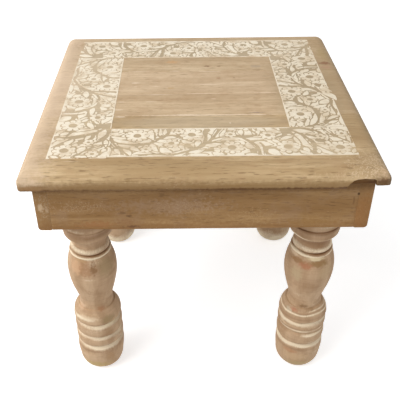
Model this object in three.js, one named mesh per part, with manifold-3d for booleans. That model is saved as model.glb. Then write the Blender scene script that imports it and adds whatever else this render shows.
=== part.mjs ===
// A square low table with four turned legs, the kind used as a seat-height tea
// table or shrine table. Four boards glued edge to edge make the top. They lie
// on a frame of four apron boards, each leg has a square head glued into a
// corner of that frame, and four cleats screwed from below hold the top down.
//
// Lengths are in millimetres. +X is to the right, +Y to the back and +Z up.
// The origin is on the floor, under the middle of the table.

import * as THREE from 'three';
import { mergeVertices } from 'three/addons/utils/BufferGeometryUtils.js';
import Module from 'manifold-3d';

// The top
const topWidth = 305;
const topDepth = 305;
const topThickness = 17;
const frontCornerRadius = 3;
const backCornerRadius = 7;
const roundoverWidth = 12;
const roundoverDrop = 9;
const noseRadius = 2;
const cornerEaseShare = 0.1;
const boardNames = ['front', 'middle_front', 'middle_back', 'back'];
const boardWidthShares = [0.328, 0.148, 0.178, 0.346];

// A chip broken out of the lower lip of the front edge, near its right end
const chipLength = 24;
const chipHeight = 10;
const chipFromEnd = 12;
const chipOutlineShares = [
    [1, 0], [0.97, 0.3], [0.92, 0.57], [0.75, 0.76], [0.62, 0.92],
    [0.4, 1], [0.12, 0.98], [0.02, 0.8], [0, 0],
];

// The lower edge worn away between the chip and the front right corner
const wearHeight = 4;
const wearDepth = 22;

// The apron: side boards run the full depth, front and back boards fit between
const topOverhang = 9.5;
const apronHeight = 47;
const apronThickness = 12;
const apronOuterEdgeRadius = 1.2;
const apronInnerEdgeRadius = 0.8;

// The legs: a square head above, turned below
const legLength = 254;
const headSquare = 48.5;
const headSetback = 3;
const headEdgeChamfer = 1.5;

// Turned diameters
const footFlatDiameter = 20;
const footDiameter = 46.8;
const drumDiameter = 48.4;
const shoulderDiameter = 37.6;
const quirkDiameter = 36;
const waistDiameter = 33.8;
const bellyDiameter = 48.4;
const vaseTopDiameter = 39.6;
const lowerBeadDiameter = 41;
const upperBeadDiameter = 37.6;
const beadGrooveDiameter = 35.6;
const neckDiameter = 33;
const coveTopDiameter = 44.6;
const rimDiameter = 48;
const rimGrooveDiameter = 44.6;
const collarDiameter = 48.3;

// Turned heights that are sizes of their own
const footEdgeRise = 17;
const grooveDepth = 2.2;
const grooveHalfWidth = 3;
const bandCrown = 0.7;
const beadHalfHeight = 1.5;
const rimGrooveHalfWidth = 1.1;

// Places along the turned part, as shares of its height above the floor
const grooveHeightShares = [0.186, 0.252, 0.34];
const shoulderFootShare = 0.37;
const shoulderTopShare = 0.425;
const waistShare = 0.463;
const bellyShare = 0.652;
const vaseTopShare = 0.753;
const neckShare = 0.798;
const coveTopShare = 0.857;
const rimGrooveShare = 0.904;

// How full the curves of the vase are, as shares of the curve's own height or radius
const waistPullShare = 0.14;
const bellyPullShare = 0.48;
const shoulderPullShare = 0.5;

// The cleats under the top, and their screws
const cleatSquare = 16;
const cleatChamfer = 2;
const cleatEndGap = 2;
const screwFromCleatEnd = 14;
const screwLength = 28;
const screwHeadDiameter = 8;
const screwHeadHeight = 3;
const screwShankDiameter = 3.8;
const screwTipLength = 6;
const screwSlotWidth = 1.1;
const screwSlotDepth = 1;

// Clearances, the overrun of the cuts, and how finely curves are divided
const screwClearance = 0.3;
const cutOverrun = 2;
const legSides = 24;
const curveSteps = 3;
const cornerSteps = 5;
const screwSides = 12;

// Sizes that follow from the ones above
const apronWidth = topWidth - 2 * topOverhang;
const apronDepth = topDepth - 2 * topOverhang;
const apronTop = legLength;
const apronBottom = apronTop - apronHeight;
const frontBoardLength = apronWidth - 2 * apronThickness;
const headHeight = apronHeight - headSetback;
const turnedHeight = legLength - headHeight;
const legX = apronWidth / 2 - apronThickness - headSquare / 2;
const legY = apronDepth / 2 - apronThickness - headSquare / 2;
const screwInTop = screwLength - cleatSquare;

const sideDirections = {
    front: new THREE.Vector3(0, -1, 0),
    back: new THREE.Vector3(0, 1, 0),
    left: new THREE.Vector3(-1, 0, 0),
    right: new THREE.Vector3(1, 0, 0),
};

const bleachedWood = { color: 0xc4a47e, roughness: 0.72, metalness: 0 };
const apronWood = { color: 0xa37a50, roughness: 0.74, metalness: 0 };
const turnedWood = { color: 0xcbab88, roughness: 0.7, metalness: 0 };
const plainWood = { color: 0xb8956a, roughness: 0.8, metalness: 0 };
const zincSteel = { color: 0xb9b6ab, roughness: 0.38, metalness: 0.9 };

const wasm = await Module();
wasm.setup();

// A closed geometry as a solid that can be joined and cut. Only position is
// kept, shared corners are merged and faces that have shrunk to nothing go.
function solid(geometry) {
    const bare = geometry.clone();
    bare.deleteAttribute('normal');
    bare.deleteAttribute('uv');
    const merged = mergeVertices(bare);
    const corners = merged.index.array;
    const kept = [];
    for (let i = 0; i < corners.length; i += 3) {
        const [a, b, c] = [corners[i], corners[i + 1], corners[i + 2]];
        if (a !== b && b !== c && c !== a) {
            kept.push(a, b, c);
        }
    }
    return new wasm.Manifold(new wasm.Mesh({
        numProp: 3,
        vertProperties: new Float32Array(merged.attributes.position.array),
        triVerts: new Uint32Array(kept),
    }));
}

// A cut or joined solid back as a geometry.
function geometryOf(body) {
    const mesh = body.getMesh();
    const geometry = new THREE.BufferGeometry();
    geometry.setAttribute('position', new THREE.BufferAttribute(mesh.vertProperties, 3));
    geometry.setIndex(new THREE.BufferAttribute(mesh.triVerts, 1));
    geometry.computeVertexNormals();
    return geometry;
}

function part(name, geometry, finish) {
    const mesh = new THREE.Mesh(geometry, new THREE.MeshStandardMaterial(finish));
    mesh.name = name;
    return mesh;
}

function box(minimum, maximum) {
    const size = maximum.clone().sub(minimum);
    const middle = minimum.clone().add(maximum).multiplyScalar(0.5);
    return new THREE.BoxGeometry(size.x, size.y, size.z).translate(middle.x, middle.y, middle.z);
}

// A profile of radius and height turned round the Z axis.
function turned(points, sides) {
    return new THREE.LatheGeometry(points, sides).rotateX(Math.PI / 2);
}

// The corners of a rectangle with round corners, going counter-clockwise from
// the back right one. The two at the back have a radius of their own.
function roundedRectangle(width, depth, frontRadius, backRadius) {
    const points = [];
    for (let corner = 0; corner < 4; corner += 1) {
        const signX = corner === 0 || corner === 3 ? 1 : -1;
        const signY = corner < 2 ? 1 : -1;
        const radius = signY > 0 ? backRadius : frontRadius;
        const middleX = signX * (width / 2 - radius);
        const middleY = signY * (depth / 2 - radius);
        for (let step = 0; step <= cornerSteps; step += 1) {
            const angle = (corner + step / cornerSteps) * Math.PI / 2;
            points.push(new THREE.Vector2(
                middleX + radius * Math.cos(angle),
                middleY + radius * Math.sin(angle),
            ));
        }
    }
    return points;
}

// The section of the top's edge, as how far in it lies and how high: a small
// round below the nose, a short upright face and a wide round-over above.
function edgeSection() {
    const path = new THREE.Path();
    path.moveTo(noseRadius, 0);
    path.quadraticCurveTo(0, 0, 0, noseRadius);
    path.lineTo(0, topThickness - roundoverDrop);
    path.absellipse(
        roundoverWidth, topThickness - roundoverDrop, roundoverWidth, roundoverDrop,
        Math.PI, Math.PI / 2, true,
    );
    return path.getPoints(curveSteps);
}

// The whole moulded slab: one rounded outline for each point of the edge
// section, joined ring to ring, with a flat face closing each end.
function mouldedSlab() {
    const rings = edgeSection().map((point) => {
        const outline = roundedRectangle(
            topWidth - 2 * point.x,
            topDepth - 2 * point.x,
            Math.max(frontCornerRadius - point.x, frontCornerRadius * cornerEaseShare),
            Math.max(backCornerRadius - point.x, backCornerRadius * cornerEaseShare),
        );
        return outline.map((corner) => new THREE.Vector3(corner.x, corner.y, point.y));
    });
    const count = rings[0].length;
    const positions = rings.flat().flatMap((corner) => [corner.x, corner.y, corner.z]);
    const faces = [];
    for (let ring = 0; ring < rings.length - 1; ring += 1) {
        for (let i = 0; i < count; i += 1) {
            const next = (i + 1) % count;
            const [a, b] = [ring * count + i, ring * count + next];
            faces.push(a, b, b + count, a, b + count, a + count);
        }
    }
    const below = positions.length / 3;
    const above = below + 1;
    const lastRing = (rings.length - 1) * count;
    positions.push(0, 0, 0, 0, 0, topThickness);
    for (let i = 0; i < count; i += 1) {
        const next = (i + 1) % count;
        faces.push(below, next, i);
        faces.push(above, lastRing + i, lastRing + next);
    }
    const geometry = new THREE.BufferGeometry();
    geometry.setAttribute('position', new THREE.Float32BufferAttribute(positions, 3));
    geometry.setIndex(faces);
    return geometry;
}

// The broken-out piece of the lip, which reaches back to the apron's face.
function chipCut() {
    const rightEnd = topWidth / 2 - chipFromEnd;
    const outline = chipOutlineShares.map(([alongShare, upShare]) => new THREE.Vector2(
        rightEnd - alongShare * chipLength,
        upShare > 0 ? upShare * chipHeight : -cutOverrun,
    ));
    const depth = topOverhang + cutOverrun;
    const cut = new THREE.ExtrudeGeometry(new THREE.Shape(outline), { depth, bevelEnabled: false });
    return cut.rotateX(Math.PI / 2).translate(0, topOverhang - topDepth / 2, 0);
}

// The worn lower edge at the front right corner: full height out to the front
// overhang's depth, and dying out along the right side.
function wearCut() {
    const front = -topDepth / 2;
    const chipEnd = topWidth / 2 - chipFromEnd;
    const overFront = box(
        new THREE.Vector3(chipEnd, front - cutOverrun, -cutOverrun),
        new THREE.Vector3(topWidth / 2 + cutOverrun, front + topOverhang, wearHeight),
    );
    const fade = new THREE.Shape([
        [front - cutOverrun, -cutOverrun], [front + wearDepth, -cutOverrun],
        [front + wearDepth, 0], [front + topOverhang, wearHeight],
        [front - cutOverrun, wearHeight],
    ].map(([y, z]) => new THREE.Vector2(y, z)));
    const overSide = new THREE.ExtrudeGeometry(fade, {
        depth: topOverhang + cutOverrun,
        bevelEnabled: false,
    });
    const upright = new THREE.Matrix4().makeBasis(
        sideDirections.back,
        new THREE.Vector3(0, 0, 1),
        sideDirections.right,
    );
    overSide.applyMatrix4(upright).translate(topWidth / 2 - topOverhang, 0, 0);
    return solid(overFront).add(solid(overSide));
}

// Where the screws stand: two in each of the four cleats.
function screwPlaces() {
    const alongX = apronWidth / 2 - apronThickness - headSquare - cleatEndGap - screwFromCleatEnd;
    const alongY = apronDepth / 2 - apronThickness - headSquare - cleatEndGap - screwFromCleatEnd;
    const cleatX = apronWidth / 2 - apronThickness - cleatSquare / 2;
    const cleatY = apronDepth / 2 - apronThickness - cleatSquare / 2;
    return {
        front: [[-alongX, -cleatY], [alongX, -cleatY]],
        back: [[-alongX, cleatY], [alongX, cleatY]],
        left: [[-cleatX, -alongY], [-cleatX, alongY]],
        right: [[cleatX, -alongY], [cleatX, alongY]],
    };
}

// The pilot hole that a screw has in the underside of the top.
function pilotHole(x, y) {
    const radius = screwShankDiameter / 2 + screwClearance;
    const depth = screwInTop + screwClearance;
    const hole = turned([
        new THREE.Vector2(0, -cutOverrun),
        new THREE.Vector2(radius, -cutOverrun),
        new THREE.Vector2(radius, depth - screwTipLength),
        new THREE.Vector2(0, depth),
    ], screwSides);
    return hole.translate(x, y, 0);
}

// The top: the slab is chipped, worn and drilled whole, then ripped into boards.
function makeTop() {
    const top = new THREE.Group();
    top.position.set(0, 0, legLength);
    let slab = solid(mouldedSlab()).subtract(solid(chipCut())).subtract(wearCut());
    for (const [x, y] of Object.values(screwPlaces()).flat()) {
        slab = slab.subtract(solid(pilotHole(x, y)));
    }
    const totalShares = boardWidthShares.reduce((sum, share) => sum + share, 0);
    let fromShare = 0;
    boardNames.forEach((boardName, i) => {
        const toShare = fromShare + boardWidthShares[i] / totalShares;
        const frontOverrun = i === 0 ? cutOverrun : 0;
        const backOverrun = i === boardNames.length - 1 ? cutOverrun : 0;
        const strip = box(
            new THREE.Vector3(
                -topWidth / 2 - cutOverrun,
                (fromShare - 0.5) * topDepth - frontOverrun,
                -cutOverrun,
            ),
            new THREE.Vector3(
                topWidth / 2 + cutOverrun,
                (toShare - 0.5) * topDepth + backOverrun,
                topThickness + cutOverrun,
            ),
        );
        const board = geometryOf(slab.intersect(solid(strip)));
        top.add(part(`top_board_${boardName}`, board, bleachedWood));
        fromShare = toShare;
    });
    return top;
}

// Lays a piece along one side of the frame. The piece is drawn end on, with its
// outer face at 0 and +X going inward, and runs along +Z for its length. Its
// outer face comes to lie at the given distance from the middle of the table.
function laidAlong(side, geometry, distance, length) {
    const outward = sideDirections[side];
    const inward = outward.clone().negate();
    const up = new THREE.Vector3(0, 0, 1);
    const along = new THREE.Vector3().crossVectors(inward, up);
    const place = new THREE.Matrix4().makeBasis(inward, up, along);
    const corner = outward.clone().multiplyScalar(distance).addScaledVector(along, -length / 2);
    return geometry.applyMatrix4(place.setPosition(corner));
}

// An apron board, square above and rounded along its two lower edges.
function apronBoard(length) {
    const section = new THREE.Shape();
    section.moveTo(0, apronHeight);
    section.lineTo(0, apronOuterEdgeRadius);
    section.quadraticCurveTo(0, 0, apronOuterEdgeRadius, 0);
    section.lineTo(apronThickness - apronInnerEdgeRadius, 0);
    section.quadraticCurveTo(apronThickness, 0, apronThickness, apronInnerEdgeRadius);
    section.lineTo(apronThickness, apronHeight);
    section.closePath();
    return new THREE.ExtrudeGeometry(section, {
        depth: length,
        curveSegments: curveSteps,
        bevelEnabled: false,
    });
}

function makeApron() {
    const apron = new THREE.Group();
    apron.position.set(0, 0, apronBottom);
    for (const side of Object.keys(sideDirections)) {
        const runsAcross = side === 'front' || side === 'back';
        const length = runsAcross ? frontBoardLength : apronDepth;
        const distance = (runsAcross ? apronDepth : apronWidth) / 2;
        const board = laidAlong(side, apronBoard(length), distance, length);
        apron.add(part(`apron_${side}`, board, apronWood));
    }
    return apron;
}

// The outline that the leg is turned to, from the middle of its foot upward.
function legProfile() {
    const path = new THREE.Path();
    const reach = (diameter) => diameter / 2;
    const height = (share) => share * turnedHeight;

    // The foot, with a flat to stand on and a rounded lower edge.
    path.moveTo(0, 0);
    path.lineTo(reach(footFlatDiameter), 0);
    path.absellipse(
        reach(footFlatDiameter), footEdgeRise,
        reach(footDiameter) - reach(footFlatDiameter), footEdgeRise,
        -Math.PI / 2, 0, false,
    );

    // The drum: slightly crowned bands parted by V grooves.
    for (const share of [...grooveHeightShares, shoulderFootShare]) {
        const isShoulder = share === shoulderFootShare;
        const bandTop = height(share) - (isShoulder ? 0 : grooveHalfWidth);
        const bandMiddle = (path.currentPoint.y + bandTop) / 2;
        path.quadraticCurveTo(reach(drumDiameter) + bandCrown, bandMiddle, reach(drumDiameter), bandTop);
        if (!isShoulder) {
            path.lineTo(reach(drumDiameter) - grooveDepth, height(share));
            path.lineTo(reach(drumDiameter), height(share) + grooveHalfWidth);
        }
    }

    // The domed shoulder, a small step, and the hollow that leads to the waist.
    const domeRise = height(shoulderTopShare - shoulderFootShare);
    path.quadraticCurveTo(
        reach(drumDiameter), height(shoulderFootShare) + shoulderPullShare * domeRise,
        reach(shoulderDiameter), height(shoulderTopShare),
    );
    path.lineTo(reach(quirkDiameter), height(shoulderTopShare));
    path.quadraticCurveTo(
        reach(waistDiameter), height(shoulderTopShare),
        reach(waistDiameter), height(waistShare),
    );

    // The vase, swelling from the waist to its belly and in again at the top.
    const vaseRise = height(bellyShare - waistShare);
    path.bezierCurveTo(
        reach(waistDiameter), height(waistShare) + waistPullShare * vaseRise,
        reach(bellyDiameter), height(bellyShare) - bellyPullShare * vaseRise,
        reach(bellyDiameter), height(bellyShare),
    );
    path.quadraticCurveTo(
        reach(bellyDiameter), (height(bellyShare) + height(vaseTopShare)) / 2,
        reach(vaseTopDiameter), height(vaseTopShare),
    );

    // Two beads with a groove between them.
    addBead(path, reach(lowerBeadDiameter), reach(beadGrooveDiameter));
    addBead(path, reach(upperBeadDiameter), reach(neckDiameter));

    // The neck and the cove that opens below the rim.
    path.lineTo(reach(neckDiameter), height(neckShare));
    path.quadraticCurveTo(
        reach(neckDiameter), (height(neckShare) + height(coveTopShare)) / 2,
        reach(coveTopDiameter), height(coveTopShare),
    );

    // The rim, its groove and the plain collar that runs up into the head.
    const grooveHeight = height(rimGrooveShare);
    path.quadraticCurveTo(
        reach(rimDiameter), height(coveTopShare),
        reach(rimDiameter), grooveHeight - rimGrooveHalfWidth,
    );
    path.lineTo(reach(rimGrooveDiameter), grooveHeight);
    path.lineTo(reach(collarDiameter), grooveHeight + rimGrooveHalfWidth);
    path.lineTo(reach(collarDiameter), turnedHeight + cutOverrun);
    path.lineTo(0, turnedHeight + cutOverrun);
    return path.getPoints(curveSteps);
}

// A half-round bead turned above the last point, ending on a smaller radius.
function addBead(path, beadRadius, endRadius) {
    const foot = path.currentPoint.y;
    const top = foot + 2 * beadHalfHeight;
    path.bezierCurveTo(beadRadius, foot, beadRadius, top, endRadius, top);
}

// The square head, with its four upright edges taken off.
function legHead() {
    const half = headSquare / 2;
    const flat = half - headEdgeChamfer;
    const outline = [
        [half, -flat], [half, flat], [flat, half], [-flat, half],
        [-half, flat], [-half, -flat], [-flat, -half], [flat, -half],
    ].map(([x, y]) => new THREE.Vector2(x, y));
    const head = new THREE.ExtrudeGeometry(new THREE.Shape(outline), {
        depth: headHeight,
        bevelEnabled: false,
    });
    return head.translate(0, 0, turnedHeight);
}

function makeLegs() {
    const legs = new THREE.Group();
    const body = solid(turned(legProfile(), legSides)).add(solid(legHead()));
    for (const [row, signY] of [['front', -1], ['back', 1]]) {
        for (const [end, signX] of [['left', -1], ['right', 1]]) {
            const leg = part(`leg_${row}_${end}`, geometryOf(body), turnedWood);
            leg.position.set(signX * legX, signY * legY, 0);
            legs.add(leg);
        }
    }
    return legs;
}

// A cleat, square with one lower edge taken off.
function cleatStrip(length) {
    const outline = [
        [0, 0], [cleatSquare - cleatChamfer, 0], [cleatSquare, cleatChamfer],
        [cleatSquare, cleatSquare], [0, cleatSquare],
    ].map(([x, y]) => new THREE.Vector2(x, y));
    return new THREE.ExtrudeGeometry(new THREE.Shape(outline), {
        depth: length,
        bevelEnabled: false,
    });
}

// The countersunk hole that a screw passes through in its cleat.
function cleatHole(x, y) {
    const headRadius = screwHeadDiameter / 2 + screwClearance;
    const shankRadius = screwShankDiameter / 2 + screwClearance;
    const hole = turned([
        new THREE.Vector2(0, -cutOverrun),
        new THREE.Vector2(headRadius, -cutOverrun),
        new THREE.Vector2(headRadius, 0),
        new THREE.Vector2(shankRadius, screwHeadHeight),
        new THREE.Vector2(shankRadius, cleatSquare + cutOverrun),
        new THREE.Vector2(0, cleatSquare + cutOverrun),
    ], screwSides);
    return hole.translate(x, y, 0);
}

// A countersunk wood screw standing head down, with a slot across its head.
function makeScrew(name, x, y) {
    const shaft = turned([
        new THREE.Vector2(0, 0),
        new THREE.Vector2(screwHeadDiameter / 2, 0),
        new THREE.Vector2(screwShankDiameter / 2, screwHeadHeight),
        new THREE.Vector2(screwShankDiameter / 2, screwLength - screwTipLength),
        new THREE.Vector2(0, screwLength),
    ], screwSides);
    const slot = box(
        new THREE.Vector3(-screwHeadDiameter, -screwSlotWidth / 2, -cutOverrun),
        new THREE.Vector3(screwHeadDiameter, screwSlotWidth / 2, screwSlotDepth),
    );
    const screw = part(name, geometryOf(solid(shaft).subtract(solid(slot))), zincSteel);
    screw.position.set(x, y, 0);
    return screw;
}

// The cleats and their screws, which stand in the corner of apron and top.
function makeCleats() {
    const cleats = new THREE.Group();
    cleats.position.set(0, 0, apronTop - cleatSquare);
    for (const [side, places] of Object.entries(screwPlaces())) {
        const runsAcross = side === 'front' || side === 'back';
        const span = runsAcross ? apronWidth : apronDepth;
        const length = span - 2 * (apronThickness + headSquare + cleatEndGap);
        const distance = (runsAcross ? apronDepth : apronWidth) / 2 - apronThickness;
        let strip = solid(laidAlong(side, cleatStrip(length), distance, length));
        places.forEach(([x, y], i) => {
            strip = strip.subtract(solid(cleatHole(x, y)));
            cleats.add(makeScrew(`cleat_screw_${side}_${i + 1}`, x, y));
        });
        cleats.add(part(`cleat_${side}`, geometryOf(strip), plainWood));
    }
    return cleats;
}

const table = new THREE.Group();
table.add(makeTop(), makeApron(), makeLegs(), makeCleats());

export default table;
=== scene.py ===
# %% [markdown]
# # A low table with four turned legs
# This lesson dresses a small wooden table: a square top of four glued boards
# with a moulded edge and a printed border of flowers, an apron of four boards
# and four legs shaped on a lathe. The maker bleached the wood, rubbed thinned
# white paint over it and sanded it back, so pale paint stays in the hollows.
#
# The plain solids come in first and stay where they are. They say where each
# piece lies, and every finer piece made below stands in the same place.

# %% Load the plain solids
import math

import bmesh
import bpy
import numpy as np
from mathutils import Matrix, Vector
from mathutils.geometry import delaunay_2d_cdt


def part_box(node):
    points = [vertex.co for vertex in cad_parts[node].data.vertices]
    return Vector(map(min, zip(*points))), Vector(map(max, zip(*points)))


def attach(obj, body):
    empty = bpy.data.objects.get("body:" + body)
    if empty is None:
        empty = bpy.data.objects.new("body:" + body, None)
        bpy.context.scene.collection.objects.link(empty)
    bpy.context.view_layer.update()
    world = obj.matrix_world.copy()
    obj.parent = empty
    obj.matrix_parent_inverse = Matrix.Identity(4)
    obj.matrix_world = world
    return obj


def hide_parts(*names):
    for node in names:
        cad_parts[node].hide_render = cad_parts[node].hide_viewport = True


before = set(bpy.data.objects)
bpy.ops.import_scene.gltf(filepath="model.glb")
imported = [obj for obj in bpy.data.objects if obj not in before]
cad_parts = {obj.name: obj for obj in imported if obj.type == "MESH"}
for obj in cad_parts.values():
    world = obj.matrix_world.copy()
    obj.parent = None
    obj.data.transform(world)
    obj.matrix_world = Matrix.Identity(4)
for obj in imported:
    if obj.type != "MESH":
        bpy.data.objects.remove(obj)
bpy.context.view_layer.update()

MM = 0.001

# %% [markdown]
# ## The camera
# The picture looks down at the table from the front, a little left of its
# middle, with a moderately long lens. The camera could be turned by hand until
# the corners agree. Here its place, its three angles and its lens are written
# as numbers, so that the same view comes back each time.

# %% Place the camera
def put_in_scene(name, data):
    """A new object that carries the data, added to the scene."""
    item = bpy.data.objects.new(name, data)
    bpy.context.scene.collection.objects.link(item)
    return item


camera_place = Vector((-0.01668, -0.56611, 0.54116))
look_left_right, look_down, camera_roll = -0.0062, 0.6182, -0.0131
ahead = Vector((
    math.sin(look_left_right) * math.cos(look_down),
    math.cos(look_left_right) * math.cos(look_down),
    -math.sin(look_down),
))
level = Vector((math.cos(look_left_right), -math.sin(look_left_right), 0))
upward = level.cross(ahead)
to_right = level * math.cos(camera_roll) + upward * math.sin(camera_roll)
to_top = upward * math.cos(camera_roll) - level * math.sin(camera_roll)

camera_data = bpy.data.cameras.new("camera")
camera_data.sensor_width = 36
camera_data.lens = 55.55
camera_data.shift_x, camera_data.shift_y = 0.0501, -0.0043
camera = put_in_scene("camera", camera_data)
axes = Matrix((to_right, to_top, -ahead)).transposed().to_4x4()
camera.matrix_world = Matrix.Translation(camera_place) @ axes
bpy.context.scene.camera = camera
print("camera looks down by", round(math.degrees(look_down), 1), "degrees")

# %% [markdown]
# ## Making nodes
# A material is a small network of nodes, and building one by hand takes many
# clicks. The helper below adds one node at a time and joins it to the earlier
# ones. A value passed to it is either a plain number or another node's output.


# %% A helper that adds and joins nodes
def linear(tone):
    """A colour as it is seen on a screen, 0 to 255, as the shader wants it."""
    shares = (np.array(tone) / 255 + 0.055) / 1.055
    return (*(shares ** 2.4), 1.0)


class Bench:
    """An emptied node tree with short ways to add the nodes that finishes need."""

    def __init__(self, tree):
        self.tree = tree
        tree.nodes.clear()

    def set_sockets(self, sockets, values):
        """Joins each named socket to a node's output, or gives it a plain value."""
        for name, value in dict(values).items():
            if isinstance(value, bpy.types.NodeSocket):
                self.tree.links.new(value, sockets[name])
            elif value is not None:
                sockets[name].default_value = value

    def add(self, kind, values=(), **settings):
        node = self.tree.nodes.new(kind)
        for name, value in settings.items():
            setattr(node, name, value)
        self.set_sockets(node.inputs, values)
        return node

    def math(self, operation, first, second, clamp=False):
        return self.add("ShaderNodeMath", {0: first, 1: second},
                        operation=operation, use_clamp=clamp).outputs[0]

    def times(self, first, second):
        return self.math("MULTIPLY", first, second)

    def vector(self, operation, first, second=None, output="Vector"):
        return self.add("ShaderNodeVectorMath", {0: first, 1: second},
                        operation=operation).outputs[output]

    def scaled(self, vector, amounts):
        return self.vector("MULTIPLY", vector, amounts)

    def object_place(self):
        return self.add("ShaderNodeTexCoord").outputs["Object"]

    def group(self, name, values):
        """One of the shader groups, placed with its own values."""
        return self.add("ShaderNodeGroup", values, node_tree=bpy.data.node_groups[name]).outputs

    def noise(self, vector, scale, detail=2.0, roughness=0.5, distortion=0.0, output="Fac"):
        return self.add("ShaderNodeTexNoise", {
            "Vector": vector, "Scale": scale, "Detail": detail,
            "Roughness": roughness, "Distortion": distortion,
        }).outputs[output]

    def between(self, value, low, high, at_low=0.0, at_high=1.0):
        """The value drawn out smoothly from at_low to at_high."""
        return self.add("ShaderNodeMapRange", {
            "Value": value, "From Min": low, "From Max": high,
            "To Min": at_low, "To Max": at_high,
        }, interpolation_type="SMOOTHSTEP").outputs["Result"]

    def mix(self, share, first, second):
        """A colour between two; the numbers are the places of a mix node's sockets."""
        return self.add(
            "ShaderNodeMix", {0: share, 6: first, 7: second}, data_type="RGBA").outputs[2]

    def tinted(self, color, tone, mask, strength):
        """The colour, turned towards a tone where the mask is high."""
        return self.mix(self.times(mask, strength), color, linear(tone))

    def stored(self, name, output="Fac"):
        return self.add("ShaderNodeAttribute", attribute_name=name).outputs[output]

    def end_material(self, strength, distance, height, looks):
        """Ends a material with a bump and one surface that has these looks."""
        bump = self.add("ShaderNodeBump", {
            "Strength": strength, "Distance": distance, "Height": height})
        surface = self.add("ShaderNodeBsdfPrincipled", {
            **looks, "Normal": bump.outputs["Normal"]})
        self.add("ShaderNodeOutputMaterial", {"Surface": surface.outputs[0]})


def new_finish(name):
    """An empty material and the bench to build it on."""
    finish = bpy.data.materials.new(name)
    finish.use_nodes = True
    return finish, Bench(finish.node_tree)


# %% [markdown]
# ## The floor and the light
# A product picture stands on a pale floor that melts into a white background.
# The floor is a plain matt sheet. What the camera sees of it is lifted just to
# white, while the table still throws its soft shadow on it.

# %% Floor and backdrop
FLOOR_HALF = 4.0
FLOOR_DROP = 0.05 * MM        # keeps the sheet from flickering against the feet
FLOOR_WHITE, FLOOR_LIFT, AMBIENT = 0.86, 0.565, 0.46
floor_mesh = bpy.data.meshes.new("floor")
floor_mesh.from_pydata(
    [(x * FLOOR_HALF, y * FLOOR_HALF, 0) for x, y in ((-1, -1), (1, -1), (1, 1), (-1, 1))],
    [], [(0, 1, 2, 3)])
floor = put_in_scene("floor", floor_mesh)
floor.location.z = -FLOOR_DROP


def background_only(bench):
    """1 where a ray comes from the camera or through a reflection."""
    light_path = bench.add("ShaderNodeLightPath").outputs
    seen = bench.math("MAXIMUM", light_path["Is Camera Ray"], light_path["Is Glossy Ray"])
    return bench.math("MAXIMUM", seen, light_path["Is Transmission Ray"])


floor_finish, bench = new_finish("floor_matt_white")
matt = bench.add("ShaderNodeBsdfDiffuse", {"Color": (*[FLOOR_WHITE] * 3, 1)})
lift = bench.add("ShaderNodeEmission", {
    "Color": (1, 1, 1, 1), "Strength": bench.times(background_only(bench), FLOOR_LIFT)})
both = bench.add("ShaderNodeAddShader", {0: matt.outputs[0], 1: lift.outputs[0]})
bench.add("ShaderNodeOutputMaterial", {"Surface": both.outputs[0]})
floor_mesh.materials.append(floor_finish)

world = bpy.data.worlds.new("studio")
world.use_nodes = True
bpy.context.scene.world = world
bench = Bench(world.node_tree)
strength = bench.between(background_only(bench), 0, 1, AMBIENT, 1.0)
sky = bench.add("ShaderNodeBackground", {"Color": (1, 1, 1, 1), "Strength": strength})
bench.add("ShaderNodeOutputWorld", {"Surface": sky.outputs[0]})

# %% Lamps
lamp_aim = Vector((0, 0, 0.16))
LAMPS = [
    # name, place, size, power
    ("key", (-1.15, -0.75, 1.55), 1.3, 24.0),
    ("fill", (1.3, -1.1, 0.9), 1.4, 4.0),
    ("side", (-1.5, 0.3, 0.4), 1.0, 6.2),
]
for name, place, size, power in LAMPS:
    lamp_data = bpy.data.lights.new(name, "AREA")
    lamp_data.size, lamp_data.energy = size, power
    lamp = put_in_scene(name, lamp_data)
    lamp.location = place
    lamp.rotation_euler = (lamp_aim - Vector(place)).to_track_quat("-Z", "Y").to_euler()
    print("lamp", name, "at", place)

bpy.context.scene.view_settings.view_transform = "Standard"

# %% [markdown]
# ## One way to make every wooden piece
# Each wooden piece here is an outline carried along a line: the top is a
# rounded square carried upward, a board is its own section carried along its
# length, and a leg is a circle carried up through many widths. So one helper
# joins a stack of rings into a closed skin. Another keeps where each point lay
# in the plank, so that the grain can follow the piece's own length.


# %% Rings joined to a skin
WAVE_RANGE = 0.6, 1.8         # the shortest and the longest wave, as shares
LEAST_RADIUS = 0.3
CORNER_STEPS = 8


def wavering(points, wavelength, seed, waves=14):
    """Smooth, repeatable unevenness from -1 to 1 at each point."""
    draw = np.random.default_rng(seed)
    directions = draw.normal(size=(waves, 3))
    directions /= np.linalg.norm(directions, axis=1, keepdims=True)
    turns = 2 * math.pi / (wavelength * draw.uniform(*WAVE_RANGE, size=waves))
    starts = draw.uniform(0, 2 * math.pi, size=waves)
    return np.sin(points @ (directions * turns[:, None]).T + starts).sum(1) / math.sqrt(waves)


def store(mesh, name, values, domain="POINT"):
    """Keeps one number or one vector for each point or face of a mesh."""
    values = np.asarray(values, np.float32)
    kind, field = ("FLOAT", "value") if values.ndim == 1 else ("FLOAT_VECTOR", "vector")
    mesh.attributes.new(name, kind, domain).data.foreach_set(field, values.ravel())


def store_end_cuts(mesh, axis, start, span):
    """Stores how far each face is a cut across a grain that runs along the axis."""
    normals = np.array([face.normal[axis] for face in mesh.polygons])
    store(mesh, "end", np.clip((np.abs(normals) - start) / span, 0, 1), "FACE")


def points_of(mesh):
    found = np.empty(len(mesh.vertices) * 3)
    mesh.vertices.foreach_get("co", found)
    return found.reshape(-1, 3)


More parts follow.
